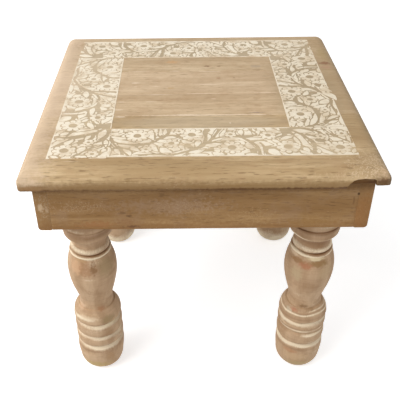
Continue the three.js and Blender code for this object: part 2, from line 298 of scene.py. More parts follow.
def skin(name, rings):
    """A closed mesh over a stack of rings with equally many points each."""
    rings = np.asarray(rings, float)
    stack, count = rings.shape[:2]
    faces = [
        (r * count + i, r * count + (i + 1) % count,
         (r + 1) * count + (i + 1) % count, (r + 1) * count + i)
        for r in range(stack - 1) for i in range(count)
    ]
    faces.append(tuple(range(count - 1, -1, -1)))
    faces.append(tuple((stack - 1) * count + i for i in range(count)))
    mesh = bpy.data.meshes.new(name)
    mesh.from_pydata(rings.reshape(-1, 3) * MM, [], faces)
    return mesh


def show(name, mesh, finish, crease=35):
    """Adds a mesh to the scene as a piece that stands on the frame's body."""
    mesh.name = name
    if crease:
        mesh.shade_smooth()
        mesh.set_sharp_from_angle(angle=math.radians(crease))
    mesh.materials.append(finish)
    piece = put_in_scene(name, mesh)
    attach(piece, "root")
    print(name, len(mesh.polygons), "faces,", len(mesh.vertices), "points")
    return piece


def lifted(flat, height):
    """A ring of flat points, set at a height."""
    return np.column_stack([flat, np.full(len(flat), height)])


def angles_round(sides):
    return np.arange(sides) * 2 * math.pi / sides


def on_circle(angles, radius, x=0, y=0):
    """Points round a middle; the radius is one number or one for each angle."""
    return np.column_stack([x + radius * np.cos(angles), y + radius * np.sin(angles)])


def rounded_outline(width, depth, radii, spacing, inset=0.0):
    """A rectangle with round corners, counter-clockwise from the back right.

    The radii are those of the back right, back left, front left and front
    right corners. The whole outline is drawn in by the inset, and it keeps the
    number of points that it would have without one.
    """
    arcs = []
    for corner, full_radius in enumerate(radii):
        radius = max(full_radius - inset, LEAST_RADIUS)
        sign_x = 1 if corner in (0, 3) else -1
        sign_y = 1 if corner < 2 else -1
        angles = (corner + np.linspace(0, 1, CORNER_STEPS + 1)) * math.pi / 2
        arcs.append(on_circle(
            angles, radius, sign_x * (width / 2 - inset - radius),
            sign_y * (depth / 2 - inset - radius)))
    points = []
    for corner, arc in enumerate(arcs):
        points.extend(arc)
        side = depth if corner % 2 else width
        steps = max(1, round(side / spacing))
        start, end = arc[-1], arcs[(corner + 1) % 4][0]
        points.extend(start + (end - start) * k / steps for k in range(1, steps))
    return np.array(points)


# %% [markdown]
# ## Wood finishes
# Grain could be an image wrapped round each piece, but then end grain and side
# grain wouldn't meet. A solid pattern is better: it exists everywhere in the
# plank, and each face shows the cut it makes through it. The patterns below
# are stretched along the plank's length, which was stored with each point.


# %% A shader group for grain
def new_group(name, inputs, outputs):
    """An empty node group with named sockets, and its two end nodes."""
    group = bpy.data.node_groups.new(name, "ShaderNodeTree")
    for direction, sockets in (("INPUT", inputs), ("OUTPUT", outputs)):
        for socket_name, kind in sockets.items():
            group.interface.new_socket(
                name=socket_name, in_out=direction, socket_type="NodeSocket" + kind)
    bench = Bench(group)
    return bench, bench.add("NodeGroupInput").outputs, bench.add("NodeGroupOutput").inputs


bench, given, result = new_group(
    "wood_grain",
    {"Place": "Vector", "Figure Scale": "Float", "Fibre Scale": "Float"},
    {"Figure": "Float", "Fibre": "Float", "Pores": "Float", "Height": "Float"},
)
long_place = bench.scaled(given["Place"], (1, 1, 0.13))
figure = bench.noise(long_place, given["Figure Scale"], 3, 0.55, 0.6)
fibre_place = bench.scaled(given["Place"], (1, 1, 0.05))
fibre = bench.noise(fibre_place, given["Fibre Scale"], 4, 0.65)
pore_noise = bench.noise(long_place, bench.times(given["Fibre Scale"], 1.9), 2, 0.5)
pores = bench.between(pore_noise, 0.56, 0.7)
bench.set_sockets(result, {
    "Figure": bench.between(figure, 0.34, 0.66), "Fibre": bench.between(fibre, 0.36, 0.64),
    "Pores": pores, "Height": bench.math("SUBTRACT", fibre, bench.times(pores, 0.8))})

# %% A shader group for rubbed-in paint
# the stored paleness it catches also carries painted highlights on the legs
bench, given, result = new_group(
    "rubbed_paint",
    {"Color": "Color", "Paint": "Color", "Place": "Vector", "Cover": "Float",
     "Catch And Highlight": "Float", "Speck Share": "Float", "Crispness": "Float"},
    {"Color": "Color"},
)
cloud = bench.noise(given["Place"], 26, 3, 0.6)
speck = bench.noise(bench.scaled(given["Place"], (1, 1, 0.6)), 620, 3, 0.8)
away = bench.math("SUBTRACT", speck, cloud)
rubbed = bench.math("ADD", cloud, bench.times(away, given["Speck Share"]))
rubbed = bench.math("ADD", rubbed, given["Catch And Highlight"])
start = bench.math("SUBTRACT", 0.78, bench.times(given["Cover"], 0.6))
past_start = bench.math("SUBTRACT", rubbed, start, clamp=True)
mask = bench.math("MULTIPLY", past_start, given["Crispness"], clamp=True)
bench.set_sockets(result, {"Color": bench.mix(mask, given["Color"], given["Paint"])})
print("shader groups", [g.name for g in bpy.data.node_groups])


# %% Shader groups for marks, patches and the print's haze
bench, given, result = new_group(
    "placed_mark",
    {"Place": "Vector", "Stray": "Vector", "Centre": "Vector", "Half Size": "Vector",
     "Raggedness": "Float"},
    {"Mask": "Float"},
)
offset = bench.vector("SUBTRACT", given["Place"], given["Centre"])
shares = bench.vector("DIVIDE", offset, given["Half Size"])
stray = bench.scaled(given["Stray"], given["Raggedness"])
length = bench.vector("LENGTH", bench.vector("ADD", shares, stray), output="Value")
bench.set_sockets(result, {"Mask": bench.between(length, 1.1, 0.4)})

bench, given, result = new_group(
    "worn_patches",
    {"Color": "Color", "Tone": "Color", "Place": "Vector", "Scale": "Float",
     "Amount": "Float"},
    {"Color": "Color"},
)
patches = bench.between(bench.noise(given["Place"], given["Scale"], 4, 0.65, 0.3), 0.47, 0.66)
share = bench.times(patches, given["Amount"])
bench.set_sockets(result, {"Color": bench.mix(share, given["Color"], given["Tone"])})

HAZE_RAGGED, HAZE_FADE = 3 * MM, (-0.5 * MM, 1.5 * MM)
bench, given, result = new_group(
    "print_haze",
    {"Place": "Vector", "Centre": "Vector", "Inner Half": "Float", "Outer Half": "Float"},
    {"Mask": "Float"},
)
offset = bench.vector("ABSOLUTE", bench.vector("SUBTRACT", given["Place"], given["Centre"]))
sides = bench.add("ShaderNodeSeparateXYZ", {"Vector": offset}).outputs
farther = bench.math("MAXIMUM", sides["X"], sides["Y"])
ragged = bench.math("SUBTRACT", bench.noise(given["Place"], 300, 2), 0.5)
farther = bench.math("ADD", farther, bench.times(ragged, HAZE_RAGGED))
past_inner = bench.math("SUBTRACT", farther, given["Inner Half"])
before_outer = bench.math("SUBTRACT", given["Outer Half"], farther)
bench.set_sockets(result, {"Mask": bench.times(
    bench.between(past_inner, *HAZE_FADE), bench.between(before_outer, *HAZE_FADE))})
print("more groups", [g.name for g in bpy.data.node_groups])


# %% The wood finishes themselves
BREAKS_UP = 0.7               # marks this ragged or more are made of specks
STRAY_REACH = 4
HAZE_TONE = (204, 190, 164)
HAZE_PLACE = {                # the ring of the printed border, seen from above
    "Centre": Vector((-0.4, 3.4, 0)) * MM, "Inner Half": 80.5 * MM, "Outer Half": 130 * MM}


def with_marks(bench, color, place, marks):
    """The colour with each placed mark laid over it in turn.

    A mark is its centre and half size in millimetres, its tone, its strength
    from 0 to 1 and how ragged its edge is.
    """
    stray = bench.noise(place, 330, 4, output="Color")
    stray = bench.scaled(bench.vector("SUBTRACT", stray, (0.5,) * 3), (STRAY_REACH,) * 3)
    specks = bench.between(bench.noise(place, 720, 2, 0.7), 0.45, 0.58)
    for centre, half_size, tone, strength, raggedness in marks:
        mask = bench.group("placed_mark", {
            "Place": place, "Stray": stray, "Centre": Vector(centre) * MM,
            "Half Size": Vector(half_size) * MM, "Raggedness": raggedness})["Mask"]
        if raggedness >= BREAKS_UP:
            mask = bench.times(mask, specks)
        color = bench.tinted(color, tone, mask, strength)
    return color


def wood_finish(name, tones, paint, cover, end_tone, marks=(), figure_scale=40,
                fibre_scale=430, fibre_share=0.6, depth=0.15 * MM, speckle=0.5,
                patches=((0, 0, 0), 50, 0), haze=0.0, lathe=0.0,
                speck_share=0.62, crispness=3.2):
    """A matt wood with grain, pores, rubbed-in paint and placed marks.

    The tones are the early wood, the late wood and the pores. Patches are a
    tone, how many there are in a metre and how strong they are. Haze is how
    strongly the print's thinned paint shows, and lathe how dark the rings are
    that the turning left.
    """
    finish, bench = new_finish(name)
    plank = bench.stored("plank", "Vector")
    own_place = bench.object_place()

    grain = bench.group("wood_grain", {
        "Place": plank, "Figure Scale": figure_scale, "Fibre Scale": fibre_scale})
    early, late, pore = tones
    color = bench.mix(grain["Figure"], linear(early), linear(late))
    color = bench.tinted(color, late, grain["Fibre"], fibre_share)
    color = bench.tinted(color, pore, grain["Pores"], speckle)
    height = grain["Height"]
    if lathe:
        turned_rings = bench.noise(bench.scaled(plank, (0.05, 0.05, 1)), 620, 3, 0.6)
        color = bench.tinted(color, pore, bench.between(turned_rings, 0.45, 0.7), lathe)
        height = bench.math("ADD", height, turned_rings)
    patch_tone, patch_scale, patch_amount = patches
    color = bench.group("worn_patches", {
        "Color": color, "Tone": linear(patch_tone), "Place": own_place,
        "Scale": patch_scale, "Amount": patch_amount})["Color"]
    color = bench.tinted(color, end_tone, bench.stored("end"), 0.8)
    # painted shade in the legs' grooves and under their beads and rims, with some brown patches,
    # turns the colour towards the pore tone
    color = bench.mix(bench.stored("shade_and_brown"), color, linear(pore))
    if haze:
        hazy = bench.group("print_haze", {"Place": own_place, **HAZE_PLACE})["Mask"]
        color = bench.tinted(color, HAZE_TONE, hazy, haze)
    if marks:
        color = with_marks(bench, color, own_place, marks)
    # the stored paleness brings in the caught paint, and on the legs painted highlights too
    wash = bench.group("rubbed_paint", {
        "Color": color, "Paint": linear(paint), "Place": plank, "Cover": cover,
        "Catch And Highlight": bench.stored("pale"), "Speck Share": speck_share,
        "Crispness": crispness})
    bench.end_material(1.0, depth, height, {
        "Base Color": wash["Color"], "Specular IOR Level": 0.25,
        "Roughness": bench.between(grain["Fibre"], 0, 1, 0.62, 0.8)})
    return finish


# %% Marks on the top
PALE_PAINT = (240, 226, 202)
FILLER, KNOT, STAIN = (236, 214, 186), (138, 104, 74), (166, 130, 92)
# painted shade along the nose and under the edge of the top, with some dirt
EDGE_DIRT_AND_SHADE = ((0, 0, 255), (900, 900, 8), (124, 90, 50), 0.75, 0.1)
# a painted shadow line just under the nose of the top
NOSE_SHADOW_LINE = ((0, 0, 253.8), (900, 900, 3.8), (86, 52, 22), 0.92, 0.18)
# painted light over the left of the top, partly paler wood there
LEFT_LIGHT_AND_PALE_WOOD = ((-160, 0, 271), (42, 400, 60), (226, 200, 172), 0.65, 0.2)
# painted shade beside and behind the middle panel, partly darker wood there
PRINT_SHADE = [
    ((107, 0, 271), (40, 130, 4), (160, 140, 108), 0.55, 0.08),
    ((0, 109, 271), (150, 34, 4), (170, 151, 120), 0.4, 0.08),
]
# painted shade over the right of the top, where the light falls off, partly darker wood there
RIGHT_SHADE = ((165, 0, 271), (52, 400, 60), (174, 146, 108), 0.6, 0.2)
# painted shade along the rounded right and left edges of the top; on the left it dims the light
# that the rounding catches
SIDE_EDGE_SHADES = [
    ((153.5, 0, 266), (8, 400, 9), (138, 120, 92), 0.55, 0.4),
    ((-154, 0, 266), (5, 400, 9), (176, 144, 112), 0.45, 0.3),
]
# painted shade along the rounded back edge of the top
BACK_EDGE_SHADE = ((0, 154, 268), (400, 6, 8), (150, 124, 92), 0.55, 0.35)
TOP_MARKS = [
    # along X, along Y, half length, half width, tone, strength
    (-75, -54.5, 7, 1.6, FILLER, 0.9), (-77, -40, 5, 2, FILLER, 0.6),
    (-64, 19, 4.5, 2.2, FILLER, 0.8), (-64, 10.4, 2, 1.2, FILLER, 0.5),
    (-43, 10, 3.5, 1, FILLER, 0.7), (3, -52.5, 76, 1.5, FILLER, 0.8),
    (-14, -52, 13, 1.8, FILLER, 0.8), (55, -52.6, 9, 1.3, FILLER, 0.8),
    (12, 45.6, 14, 1.2, FILLER, 0.5), (-60, 47.8, 16, 1, FILLER, 0.5),
    (-24, 47.6, 6, 1.6, FILLER, 0.5), (10, 13.4, 14, 1.2, FILLER, 0.7),
    (44, 12.6, 8, 0.8, FILLER, 0.4), (-40, -8.6, 14, 0.9, FILLER, 0.6),
    (3, -7.2, 21, 0.9, FILLER, 0.6), (66, -6.6, 12, 0.9, FILLER, 0.6),
    (-47, -24, 7, 1.3, FILLER, 0.4), (-75, -24, 4, 1.5, FILLER, 0.5),
    (14, -19, 3, 1.5, FILLER, 0.4), (27, -68, 1.2, 2.2, FILLER, 0.8),
    (24, -45, 5, 0.8, FILLER, 0.4), (-110, -132, 8, 1, FILLER, 0.3),
    (11, 59.6, 4, 2.6, KNOT, 0.75), (23, 59, 2.2, 2, KNOT, 0.5),
    (-15, 38.4, 5, 1.8, KNOT, 0.4), (21, 29, 3, 2.2, (168, 116, 82), 0.5),
    (37.6, 30, 1.6, 2.6, KNOT, 0.4), (63, 58, 7, 4, (168, 150, 132), 0.45),
    (63, 49, 8, 1.6, KNOT, 0.35), (-16, -19, 20, 1.1, STAIN, 0.55),
    (-38, -21.5, 9, 1, STAIN, 0.5), (53, -48.6, 8, 1.6, (152, 128, 114), 0.6),
    (-46, -56, 12, 1.2, STAIN, 0.5), (-27, 71.6, 9, 5, (214, 164, 112), 0.5),
    (56, -34, 6, 3, STAIN, 0.35), (56, -18, 5, 2.6, STAIN, 0.35),
    (-28, 6, 5, 2.6, (188, 148, 92), 0.4), (138, 65, 7, 5.4, (142, 98, 70), 0.8),
    (138, 54, 7, 6, (186, 144, 118), 0.5), (142, 92, 9, 22, (168, 144, 96), 0.4),
]
FRONT_MARKS = [
    ((0, -66, 271), (100, 17, 4), (208, 192, 166), 0.42, 0.05),
    ((-142, -152, 257), (15, 7, 4), (158, 120, 80), 0.6, 0.4),
    # painted shade along the front nose, with some dirt
    ((-60, -153, 259), (100, 9, 7), (142, 110, 68), 0.6, 0.3),
    ((70, -153, 259.5), (90, 9, 5), (150, 118, 72), 0.45, 0.35),
    # painted shade inside the chip, over its broken wood
    ((128, -146, 258), (15, 9, 7.6), (114, 78, 38), 0.9, 0.15),
    ((118, -152, 266.5), (40, 6, 3), (222, 196, 160), 0.3, 0.7),
    ((143, -142, 269), (28, 28, 8), (226, 202, 170), 0.55, 0.75),
    ((150, -149, 267), (11, 11, 7), (208, 176, 142), 0.45, 0.5),
    ((147, -151, 262), (8, 6, 3), (160, 112, 86), 0.6, 0.4),
    # painted shade under the nose at the right front corner and down the right end's face
    ((152, -150, 260.4), (22, 16, 6.6), (92, 66, 38), 0.85, 0.25),
    ((154, -126, 262), (6, 60, 11), (130, 108, 82), 0.85, 0.3),
]


PANEL_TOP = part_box("top_board_front")[1].z / MM
MARK_DEPTH, MARK_RAGGED = 3, 0.35


def board_marks(low, high):
    """The marks that reach into one board, and those that all boards share."""
    own = [
        ((x, y, PANEL_TOP), (half_x, half_y, MARK_DEPTH), tone, strength, MARK_RAGGED)
        for x, y, half_x, half_y, tone, strength in TOP_MARKS
        if low < y + half_y and y - half_y < high]
    end = FRONT_MARKS if low < -100 else [BACK_EDGE_SHADE] if high > 150 else []
    return [LEFT_LIGHT_AND_PALE_WOOD, RIGHT_SHADE, *SIDE_EDGE_SHADES, *PRINT_SHADE, *own,
            EDGE_DIRT_AND_SHADE, NOSE_SHADOW_LINE, *end]
BOARD_TONES = {
    "front": ((219, 191, 149), (177, 147, 106), (106, 78, 43)),
    "middle_front": ((227, 201, 165), (198, 170, 135), (146, 116, 82)),
    "middle_back": ((227, 201, 167), (199, 171, 137), (148, 118, 84)),
    "back": ((223, 198, 163), (194, 167, 132), (144, 114, 80)),
}
BOARD_FINISHES = {}
for board_name, tones in BOARD_TONES.items():
    low, high = (corner.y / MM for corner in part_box("top_board_" + board_name))
    BOARD_FINISHES[board_name] = wood_finish(
        "bleached_wood_" + board_name, tones, PALE_PAINT, 0.26, (172, 138, 98),
        board_marks(low, high), patches=((176, 138, 100), 60, 0.22), haze=0.5)
    print(board_name, "board from", round(low, 1), "to", round(high, 1))

# %% The finishes below the top
# a painted shadow along the top of the apron, under the overhang of the top
UNDER_LIP_SHADOW = ((0, 0, 256), (900, 900, 11), (106, 74, 40), 0.75, 0.15)
LOW_EDGE = ((0, 0, 205), (900, 900, 13), (138, 98, 56), 0.6, 0.3)
APRON_MARKS = [
    UNDER_LIP_SHADOW, LOW_EDGE,
    ((-69, -143, 225.5), (4.5, 3, 1.8), (108, 74, 48), 0.6, 0.4),
    ((-63, -143, 222), (3, 3, 1.6), (92, 62, 40), 0.7, 0.4),
    ((-92, -143, 213), (20, 3, 4), (158, 108, 66), 0.55, 0.5),
    ((-61, -143, 210.5), (8, 3, 1.8), (98, 62, 42), 0.7, 0.5),
    ((-66, -143, 216), (10, 3, 4), (140, 98, 64), 0.4, 0.5),
    ((130.5, -143, 243), (1.4, 3, 1.7), (66, 42, 20), 0.9, 0.2),
    ((127.5, -143, 236), (1.2, 3, 5), (108, 72, 44), 0.5, 0.3),
    ((-138, -143, 231), (3, 3, 5), (206, 178, 146), 0.7, 0.6),
    ((-133, -143, 229), (1.5, 3, 4), (198, 170, 138), 0.6, 0.6),
    ((-136, -143, 234), (9, 4, 18), (176, 152, 120), 0.5, 0.75),
    ((137, -143, 224), (9, 6, 24), (148, 98, 50), 0.5, 0.3),
    ((-30, -143, 232), (60, 4, 9), (160, 132, 106), 0.4, 0.6),
    ((-104, -143, 232), (30, 4, 7), (184, 156, 124), 0.4, 0.75),
    ((-12, -143, 230), (34, 4, 11), (180, 150, 118), 0.35, 0.75),
    ((44, -143, 221), (24, 4, 9), (182, 150, 108), 0.4, 0.75),
    ((92, -143, 214), (24, 4, 8), (150, 112, 62), 0.4, 0.6),
]
apron_finish = wood_finish(
    "brown_apron_wood", ((172, 136, 91), (143, 107, 65), (86, 56, 32)),
    (192, 162, 124), 0.3, (150, 114, 72), APRON_MARKS, fibre_share=0.3,
    speckle=0.4, patches=((156, 126, 96), 34, 0.4), speck_share=0.72, crispness=4)
LEFT_LEG_MARKS = [
    ((-109, -128, 149), (12, 12, 12), (164, 122, 86), 0.72, 0.35),
    # a painted highlight on the left of the belly
    ((-119, -124, 149), (7, 10, 12), (212, 170, 132), 0.6, 0.3),
    ((-102.5, -128, 148.5), (3.6, 8, 9), (128, 94, 60), 0.62, 0.45),
    ((-114, -128, 157), (9, 8, 2.4), (178, 144, 98), 0.5, 0.3),
    ((-91, -123, 147), (9, 12, 14), (160, 138, 98), 0.5, 0.3),
    ((-107, -131, 135.5), (6, 5, 1.3), (214, 190, 160), 0.7, 0.6),
    # a painted highlight on the left of the drum's shoulder
    ((-114, -127, 81.5), (15, 10, 3.4), (240, 220, 188), 0.4, 0.3),
    ((-121, -120, 91), (7, 8, 5), (222, 188, 156), 0.4, 0.3),
    ((-100.7, -122.6, 91), (5, 8, 3), (164, 112, 76), 0.5, 0.4),
    ((-93.8, -126, 79), (8, 10, 6), (150, 128, 88), 0.6, 0.35),
    ((-89, -124, 71.4), (12, 14, 3.2), (218, 202, 166), 0.8, 0.3),
    ((-118, -127, 26), (12, 12, 8), (214, 184, 150), 0.4, 0.3),
    ((-112, -128, 11), (22, 16, 8), (190, 166, 106), 0.6, 0.4),
    ((-96, -124, 24), (5, 9, 9), (186, 148, 104), 0.4, 0.4),
]
RIGHT_LEG_MARKS = [
    ((92, -122, 152), (9, 9, 4.4), (146, 106, 66), 0.75, 0.3),
    ((99.6, -127, 149), (8, 9, 4.6), (174, 112, 78), 0.75, 0.35),
    ((112, -128, 151.8), (13, 9, 4.6), (146, 110, 66), 0.78, 0.3),
    ((92, -124, 137), (8, 10, 10), (188, 168, 132), 0.5, 0.35),
    ((118, -126, 142), (9, 12, 12), (196, 170, 132), 0.4, 0.35),
    ((88.5, -116, 157), (6, 9, 2.8), (218, 192, 160), 0.8, 0.2),
    ((108, -127, 156.6), (11, 9, 2.2), (226, 206, 168), 0.85, 0.25),
    ((89.6, -121.7, 85), (4, 6, 3.4), (206, 192, 166), 0.6, 0.4),
    ((94.3, -123.6, 87), (3.6, 6, 2.6), (180, 112, 80), 0.6, 0.4),
    ((103, -123, 91.5), (5, 8, 2.6), (118, 86, 52), 0.6, 0.4),
    ((110, -124, 89), (6, 8, 2), (138, 106, 70), 0.5, 0.4),
    ((86.5, -120, 66), (6, 9, 3), (220, 194, 160), 0.5, 0.4),
    ((94, -127, 31), (9, 10, 4), (180, 124, 80), 0.5, 0.3),
    ((101, -130, 22), (20, 14, 8), (206, 174, 136), 0.5, 0.35),
    ((107, -130, 10), (24, 16, 7), (192, 172, 126), 0.5, 0.4),
]


def leg_wood(name, marks):
    return wood_finish(
        name, ((200, 169, 136), (176, 144, 111), (132, 96, 64)), (238, 220, 190), 0.22,
        (184, 152, 116), marks, figure_scale=45, fibre_share=0.2, depth=0.12 * MM,
        speckle=0.1, patches=((156, 120, 84), 48, 0.45), lathe=0.16, speck_share=0.4)


leg_finish = leg_wood("turned_leg_wood", ())
LEG_FINISHES = {
    "front_left": leg_wood("turned_leg_wood_left", LEFT_LEG_MARKS),
    "front_right": leg_wood("turned_leg_wood_right", RIGHT_LEG_MARKS),
}
cleat_finish = wood_finish(
    "plain_cleat_wood", ((214, 178, 132), (184, 144, 100), (140, 102, 66)),
    PALE_PAINT, 0.05, (170, 130, 88), figure_scale=70)

# %% The print's paint and the screws' zinc
paint_finish, bench = new_finish("cream_print_paint")
place = bench.stored("plank", "Vector")
thin = bench.noise(place, 60, 4, 0.6)
weave = bench.noise(bench.scaled(place, (1, 1, 0.06)), 800, 3, 0.6)
thinness = bench.between(bench.times(thin, bench.math("ADD", weave, 0.5)), 0.42, 0.66)
color = bench.mix(thinness, linear((250, 238, 216)), linear((226, 206, 176)))
# painted shade over the right side of the print, where the light falls off
right_painted_shade = bench.group("placed_mark", {
    "Place": bench.object_place(), "Centre": Vector((150, 0, 271)) * MM,
    "Half Size": Vector((95, 400, 60)) * MM})["Mask"]
bench.end_material(0.6, 0.1 * MM, weave, {
    "Base Color": bench.tinted(color, (222, 206, 178), right_painted_shade, 0.3),
    "Roughness": bench.between(weave, 0.3, 0.7, 0.55, 0.7), "Specular IOR Level": 0.3})

screw_finish, bench = new_finish("dull_zinc")
place = bench.object_place()
spangle = bench.noise(place, 900, 3, 0.6)
stain = bench.between(bench.noise(place, 260, 3, 0.6), 0.56, 0.68)
color = bench.mix(spangle, linear((188, 186, 176)), linear((140, 138, 130)))
bench.end_material(0.5, 0.05 * MM, spangle, {
    "Base Color": bench.mix(stain, color, linear((112, 84, 60))),
    "Metallic": bench.between(stain, 0, 1, 1.0, 0.2),
    "Roughness": bench.between(spangle, 0.3, 0.7, 0.35, 0.55)})

# %% [markdown]
# ## The top
# The top is one glued panel of four boards with a moulded edge. The edge is
# soft above and ends in a blunt nose. The rings of the skin follow that
# section, and then the panel is sawn where the real boards meet.

# %% The panel with its moulded edge
PANEL_WIDTH, PANEL_DEPTH, PANEL_THICKNESS = 305, 305, 17
PANEL_UNDERSIDE = 254
PANEL_RADII = (10, 9, 3, 3)
FILM = 0.2                    # the printed paint stands this much above the wood
NOSE_RADIUS = 2
ROUND_WIDTH, ROUND_DROP = 12, 9
PLANED_OFF = 0.0007           # by hand, as a share of the width


def edge_section():
    """How far in and how high the edge's points lie, from below to above."""
    turn = np.linspace(0, math.pi / 2, 5)
    nose = [(NOSE_RADIUS * (1 - math.sin(a)), NOSE_RADIUS * (1 - math.cos(a))) for a in turn]
    shoulder_foot = PANEL_THICKNESS - FILM - ROUND_DROP
    upright = [(0, z) for z in np.linspace(NOSE_RADIUS, shoulder_foot, 4)[1:-1]]
    turn = np.linspace(0, math.pi / 2, 13)
    shoulder = [(ROUND_WIDTH * (1 - math.cos(a)), shoulder_foot + ROUND_DROP * math.sin(a))
                for a in turn]
    return nose + upright + shoulder + [(ROUND_WIDTH + 2, shoulder[-1][1])]


rings = []
for inset, height in edge_section():
    outline = rounded_outline(PANEL_WIDTH, PANEL_DEPTH, PANEL_RADII, 3, inset)
    ring = lifted(outline, PANEL_UNDERSIDE + height)
    ring[:, :2] *= (1 - PLANED_OFF * (1 + wavering(ring, 45, seed=3) / 2))[:, None]
    rings.append(ring)
panel = skin("panel", rings)
print("panel skin:", len(rings), "rings of", len(rings[0]), "points")

# %% Saw the panel into its boards
JOINTS = [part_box("top_board_" + name)[1].y / MM for name in list(BOARD_TONES)[:-1]]
JOINT_EASE, JOINT_SINK = 0.5, 0.25    # how wide and how deep a joint's edges are eased
JOINT_SHRINK = 0.999          # draws a joint's ends in, so that it shows in the edge
ABOVE_NOSE = PANEL_UNDERSIDE + 3


def saw_board(whole, low, high):
    """The part of the panel between two joints, with eased joint edges."""
    bm = bmesh.new()
    bm.from_mesh(whole)
    for joint, facing in ((low, -1), (high, 1)):
        if joint is None:
            continue
        for step_in, clears in ((JOINT_EASE, False), (0, True)):
            cut = bmesh.ops.bisect_plane(
                bm, geom=bm.verts[:] + bm.edges[:] + bm.faces[:],
                plane_co=(0, (joint - facing * step_in) * MM, 0),
                plane_no=(0, facing, 0), clear_outer=clears)
        rim = [e for e in cut["geom_cut"] if isinstance(e, bmesh.types.BMEdge)]
        bmesh.ops.holes_fill(bm, edges=rim, sides=0)
        for point in {v for e in rim for v in e.verts}:
            if point.co.z > ABOVE_NOSE * MM:
                point.co.z -= JOINT_SINK * MM
                point.co.x *= JOINT_SHRINK
    mesh = bpy.data.meshes.new("board")
    bm.to_mesh(mesh)
    bm.free()
    return mesh


def lay_grain(mesh, along, shift):
    """Stores where each point lay in a plank that runs along X (0) or Y (1)."""
    order = ((1, 2, 0), (0, 2, 1))[along]
    store(mesh, "plank", points_of(mesh)[:, order] + np.array(shift))
    store_end_cuts(mesh, along, 0.55, 0.3)


def cut_away(mesh, cutter):
    """The mesh with the cutter's space taken out of it."""
    body, tool = put_in_scene("body", mesh), put_in_scene("tool", cutter)
    boolean = body.modifiers.new("cut", "BOOLEAN")
    boolean.operation, boolean.object, boolean.solver = "DIFFERENCE", tool, "EXACT"
    graph = bpy.context.evaluated_depsgraph_get()
    cut = bpy.data.meshes.new_from_object(body.evaluated_get(graph))
    for item in (body, tool):
        bpy.data.objects.remove(item)
    return cut


# %% The chip and the worn corner
CHIP_RIGHT, CHIP_LENGTH, CHIP_HEIGHT = 140.5, 24, 10
CHIP_SHARES = [
    (1, -0.3), (1, 0), (0.965, 0.33), (0.89, 0.6), (0.79, 0.82), (0.66, 0.95), (0.4, 1),
    (0.08, 0.98), (0.01, 0.85), (0, 0), (0, -0.3),
]
CHIP_POINTS, WEAR_POINTS = 61, 160
WEAR_START, WEAR_HEIGHT, WEAR_END = CHIP_RIGHT - 1.5, 4, -130.5
APRON_FACE = 143.05
OUTSIDE = -160                # a cutter starts here, in front of the panel
BREAK_LENGTH = 3              # of the waves in a broken surface


def roughened_bar(corners, count, start, end, steps, seed, roughness, last_rise=1.0):
    """An upright outline of X and Z, carried along Y and roughened.

    Points are spaced out between the outline's corners. Its rise above the
    panel's underside changes evenly to the last share.
    """
    walk = np.linspace(0, len(corners) - 1, count)
    corners = np.array(corners, float)
    x, z = (np.interp(walk, range(len(corners)), corners[:, axis]) for axis in (0, 1))
    rings = []
    for step, y in enumerate(np.linspace(start, end, steps)):
        ring = np.column_stack([x, np.full(count, y), z])
        rise = 1 + (last_rise - 1) * step / (steps - 1)
        ring[:, 2] = PANEL_UNDERSIDE + (ring[:, 2] - PANEL_UNDERSIDE) * rise
        ring[:, 2] += roughness * wavering(ring * (0.25, 1, 1), BREAK_LENGTH, seed)
        ring[:, 0] += roughness * wavering(ring, BREAK_LENGTH, seed + 1)
        rings.append(ring)
    return skin("cutter", rings)


def wear_corners(left):
    """A low box from here out past the end of the panel."""
    low, high = PANEL_UNDERSIDE - 3, PANEL_UNDERSIDE + WEAR_HEIGHT
    return [(left, low), (left, high), (PANEL_WIDTH, high), (PANEL_WIDTH, low)]


chip_corners = [(CHIP_RIGHT - CHIP_LENGTH * along, PANEL_UNDERSIDE + CHIP_HEIGHT * up)
                for along, up in CHIP_SHARES]
CUTTERS = [
    roughened_bar(chip_corners, CHIP_POINTS, OUTSIDE, -APRON_FACE, 24, 8, 0.28),
    roughened_bar(wear_corners(WEAR_START), WEAR_POINTS, OUTSIDE, -APRON_FACE, 24, 11, 0.2),
    roughened_bar(wear_corners(APRON_FACE), WEAR_POINTS, -APRON_FACE - 0.5, WEAR_END, 20, 14,
                  0.15, last_rise=0.05),
]

# %% Pilot holes for the screws
CLEAT_SQUARE, CLEAT_HALF_LENGTH = 16, 80.5
CLEAT_UNDERSIDE = PANEL_UNDERSIDE - CLEAT_SQUARE
CLEAT_MIDDLE = 123            # from the table's middle to the middle of a cleat
SCREW_OFFSET = 66.5           # along the cleat, from its middle
SCREW_LENGTH, SCREW_RADIUS, TIP_LENGTH = 28, 1.9, 6
HEAD_RADIUS, HEAD_HEIGHT = 3.95, 3
HOLE_PLAY = 0.25
HOLE_SIDES = 24
SIDES = {
    # the axis that a side runs along, and where it lies on the other one
    "front": (0, -1), "back": (0, 1), "left": (1, -1), "right": (1, 1),
}


def on_side(side, along, out):
    """X and Y, from how far along its side and out from the middle a place is."""
    axis, sign = SIDES[side]
    return (sign * out, along) if axis else (along, sign * out)


SCREW_PLACES = {
    side: [on_side(side, along, CLEAT_MIDDLE) for along in (-SCREW_OFFSET, SCREW_OFFSET)]
    for side in SIDES}


def round_cutter(profile, x, y):
    """A skin turned round an upright line, from pairs of radius and height."""
    angles = angles_round(HOLE_SIDES)
    return skin("cutter", [
        lifted(on_circle(angles, radius, x, y), height) for radius, height in profile])


def pilot_hole(x, y):
    radius = SCREW_RADIUS + HOLE_PLAY
    end = CLEAT_UNDERSIDE + SCREW_LENGTH + HOLE_PLAY
    return round_cutter(
        [(radius, PANEL_UNDERSIDE - 1), (radius, end - TIP_LENGTH), (0.3, end)], x, y)


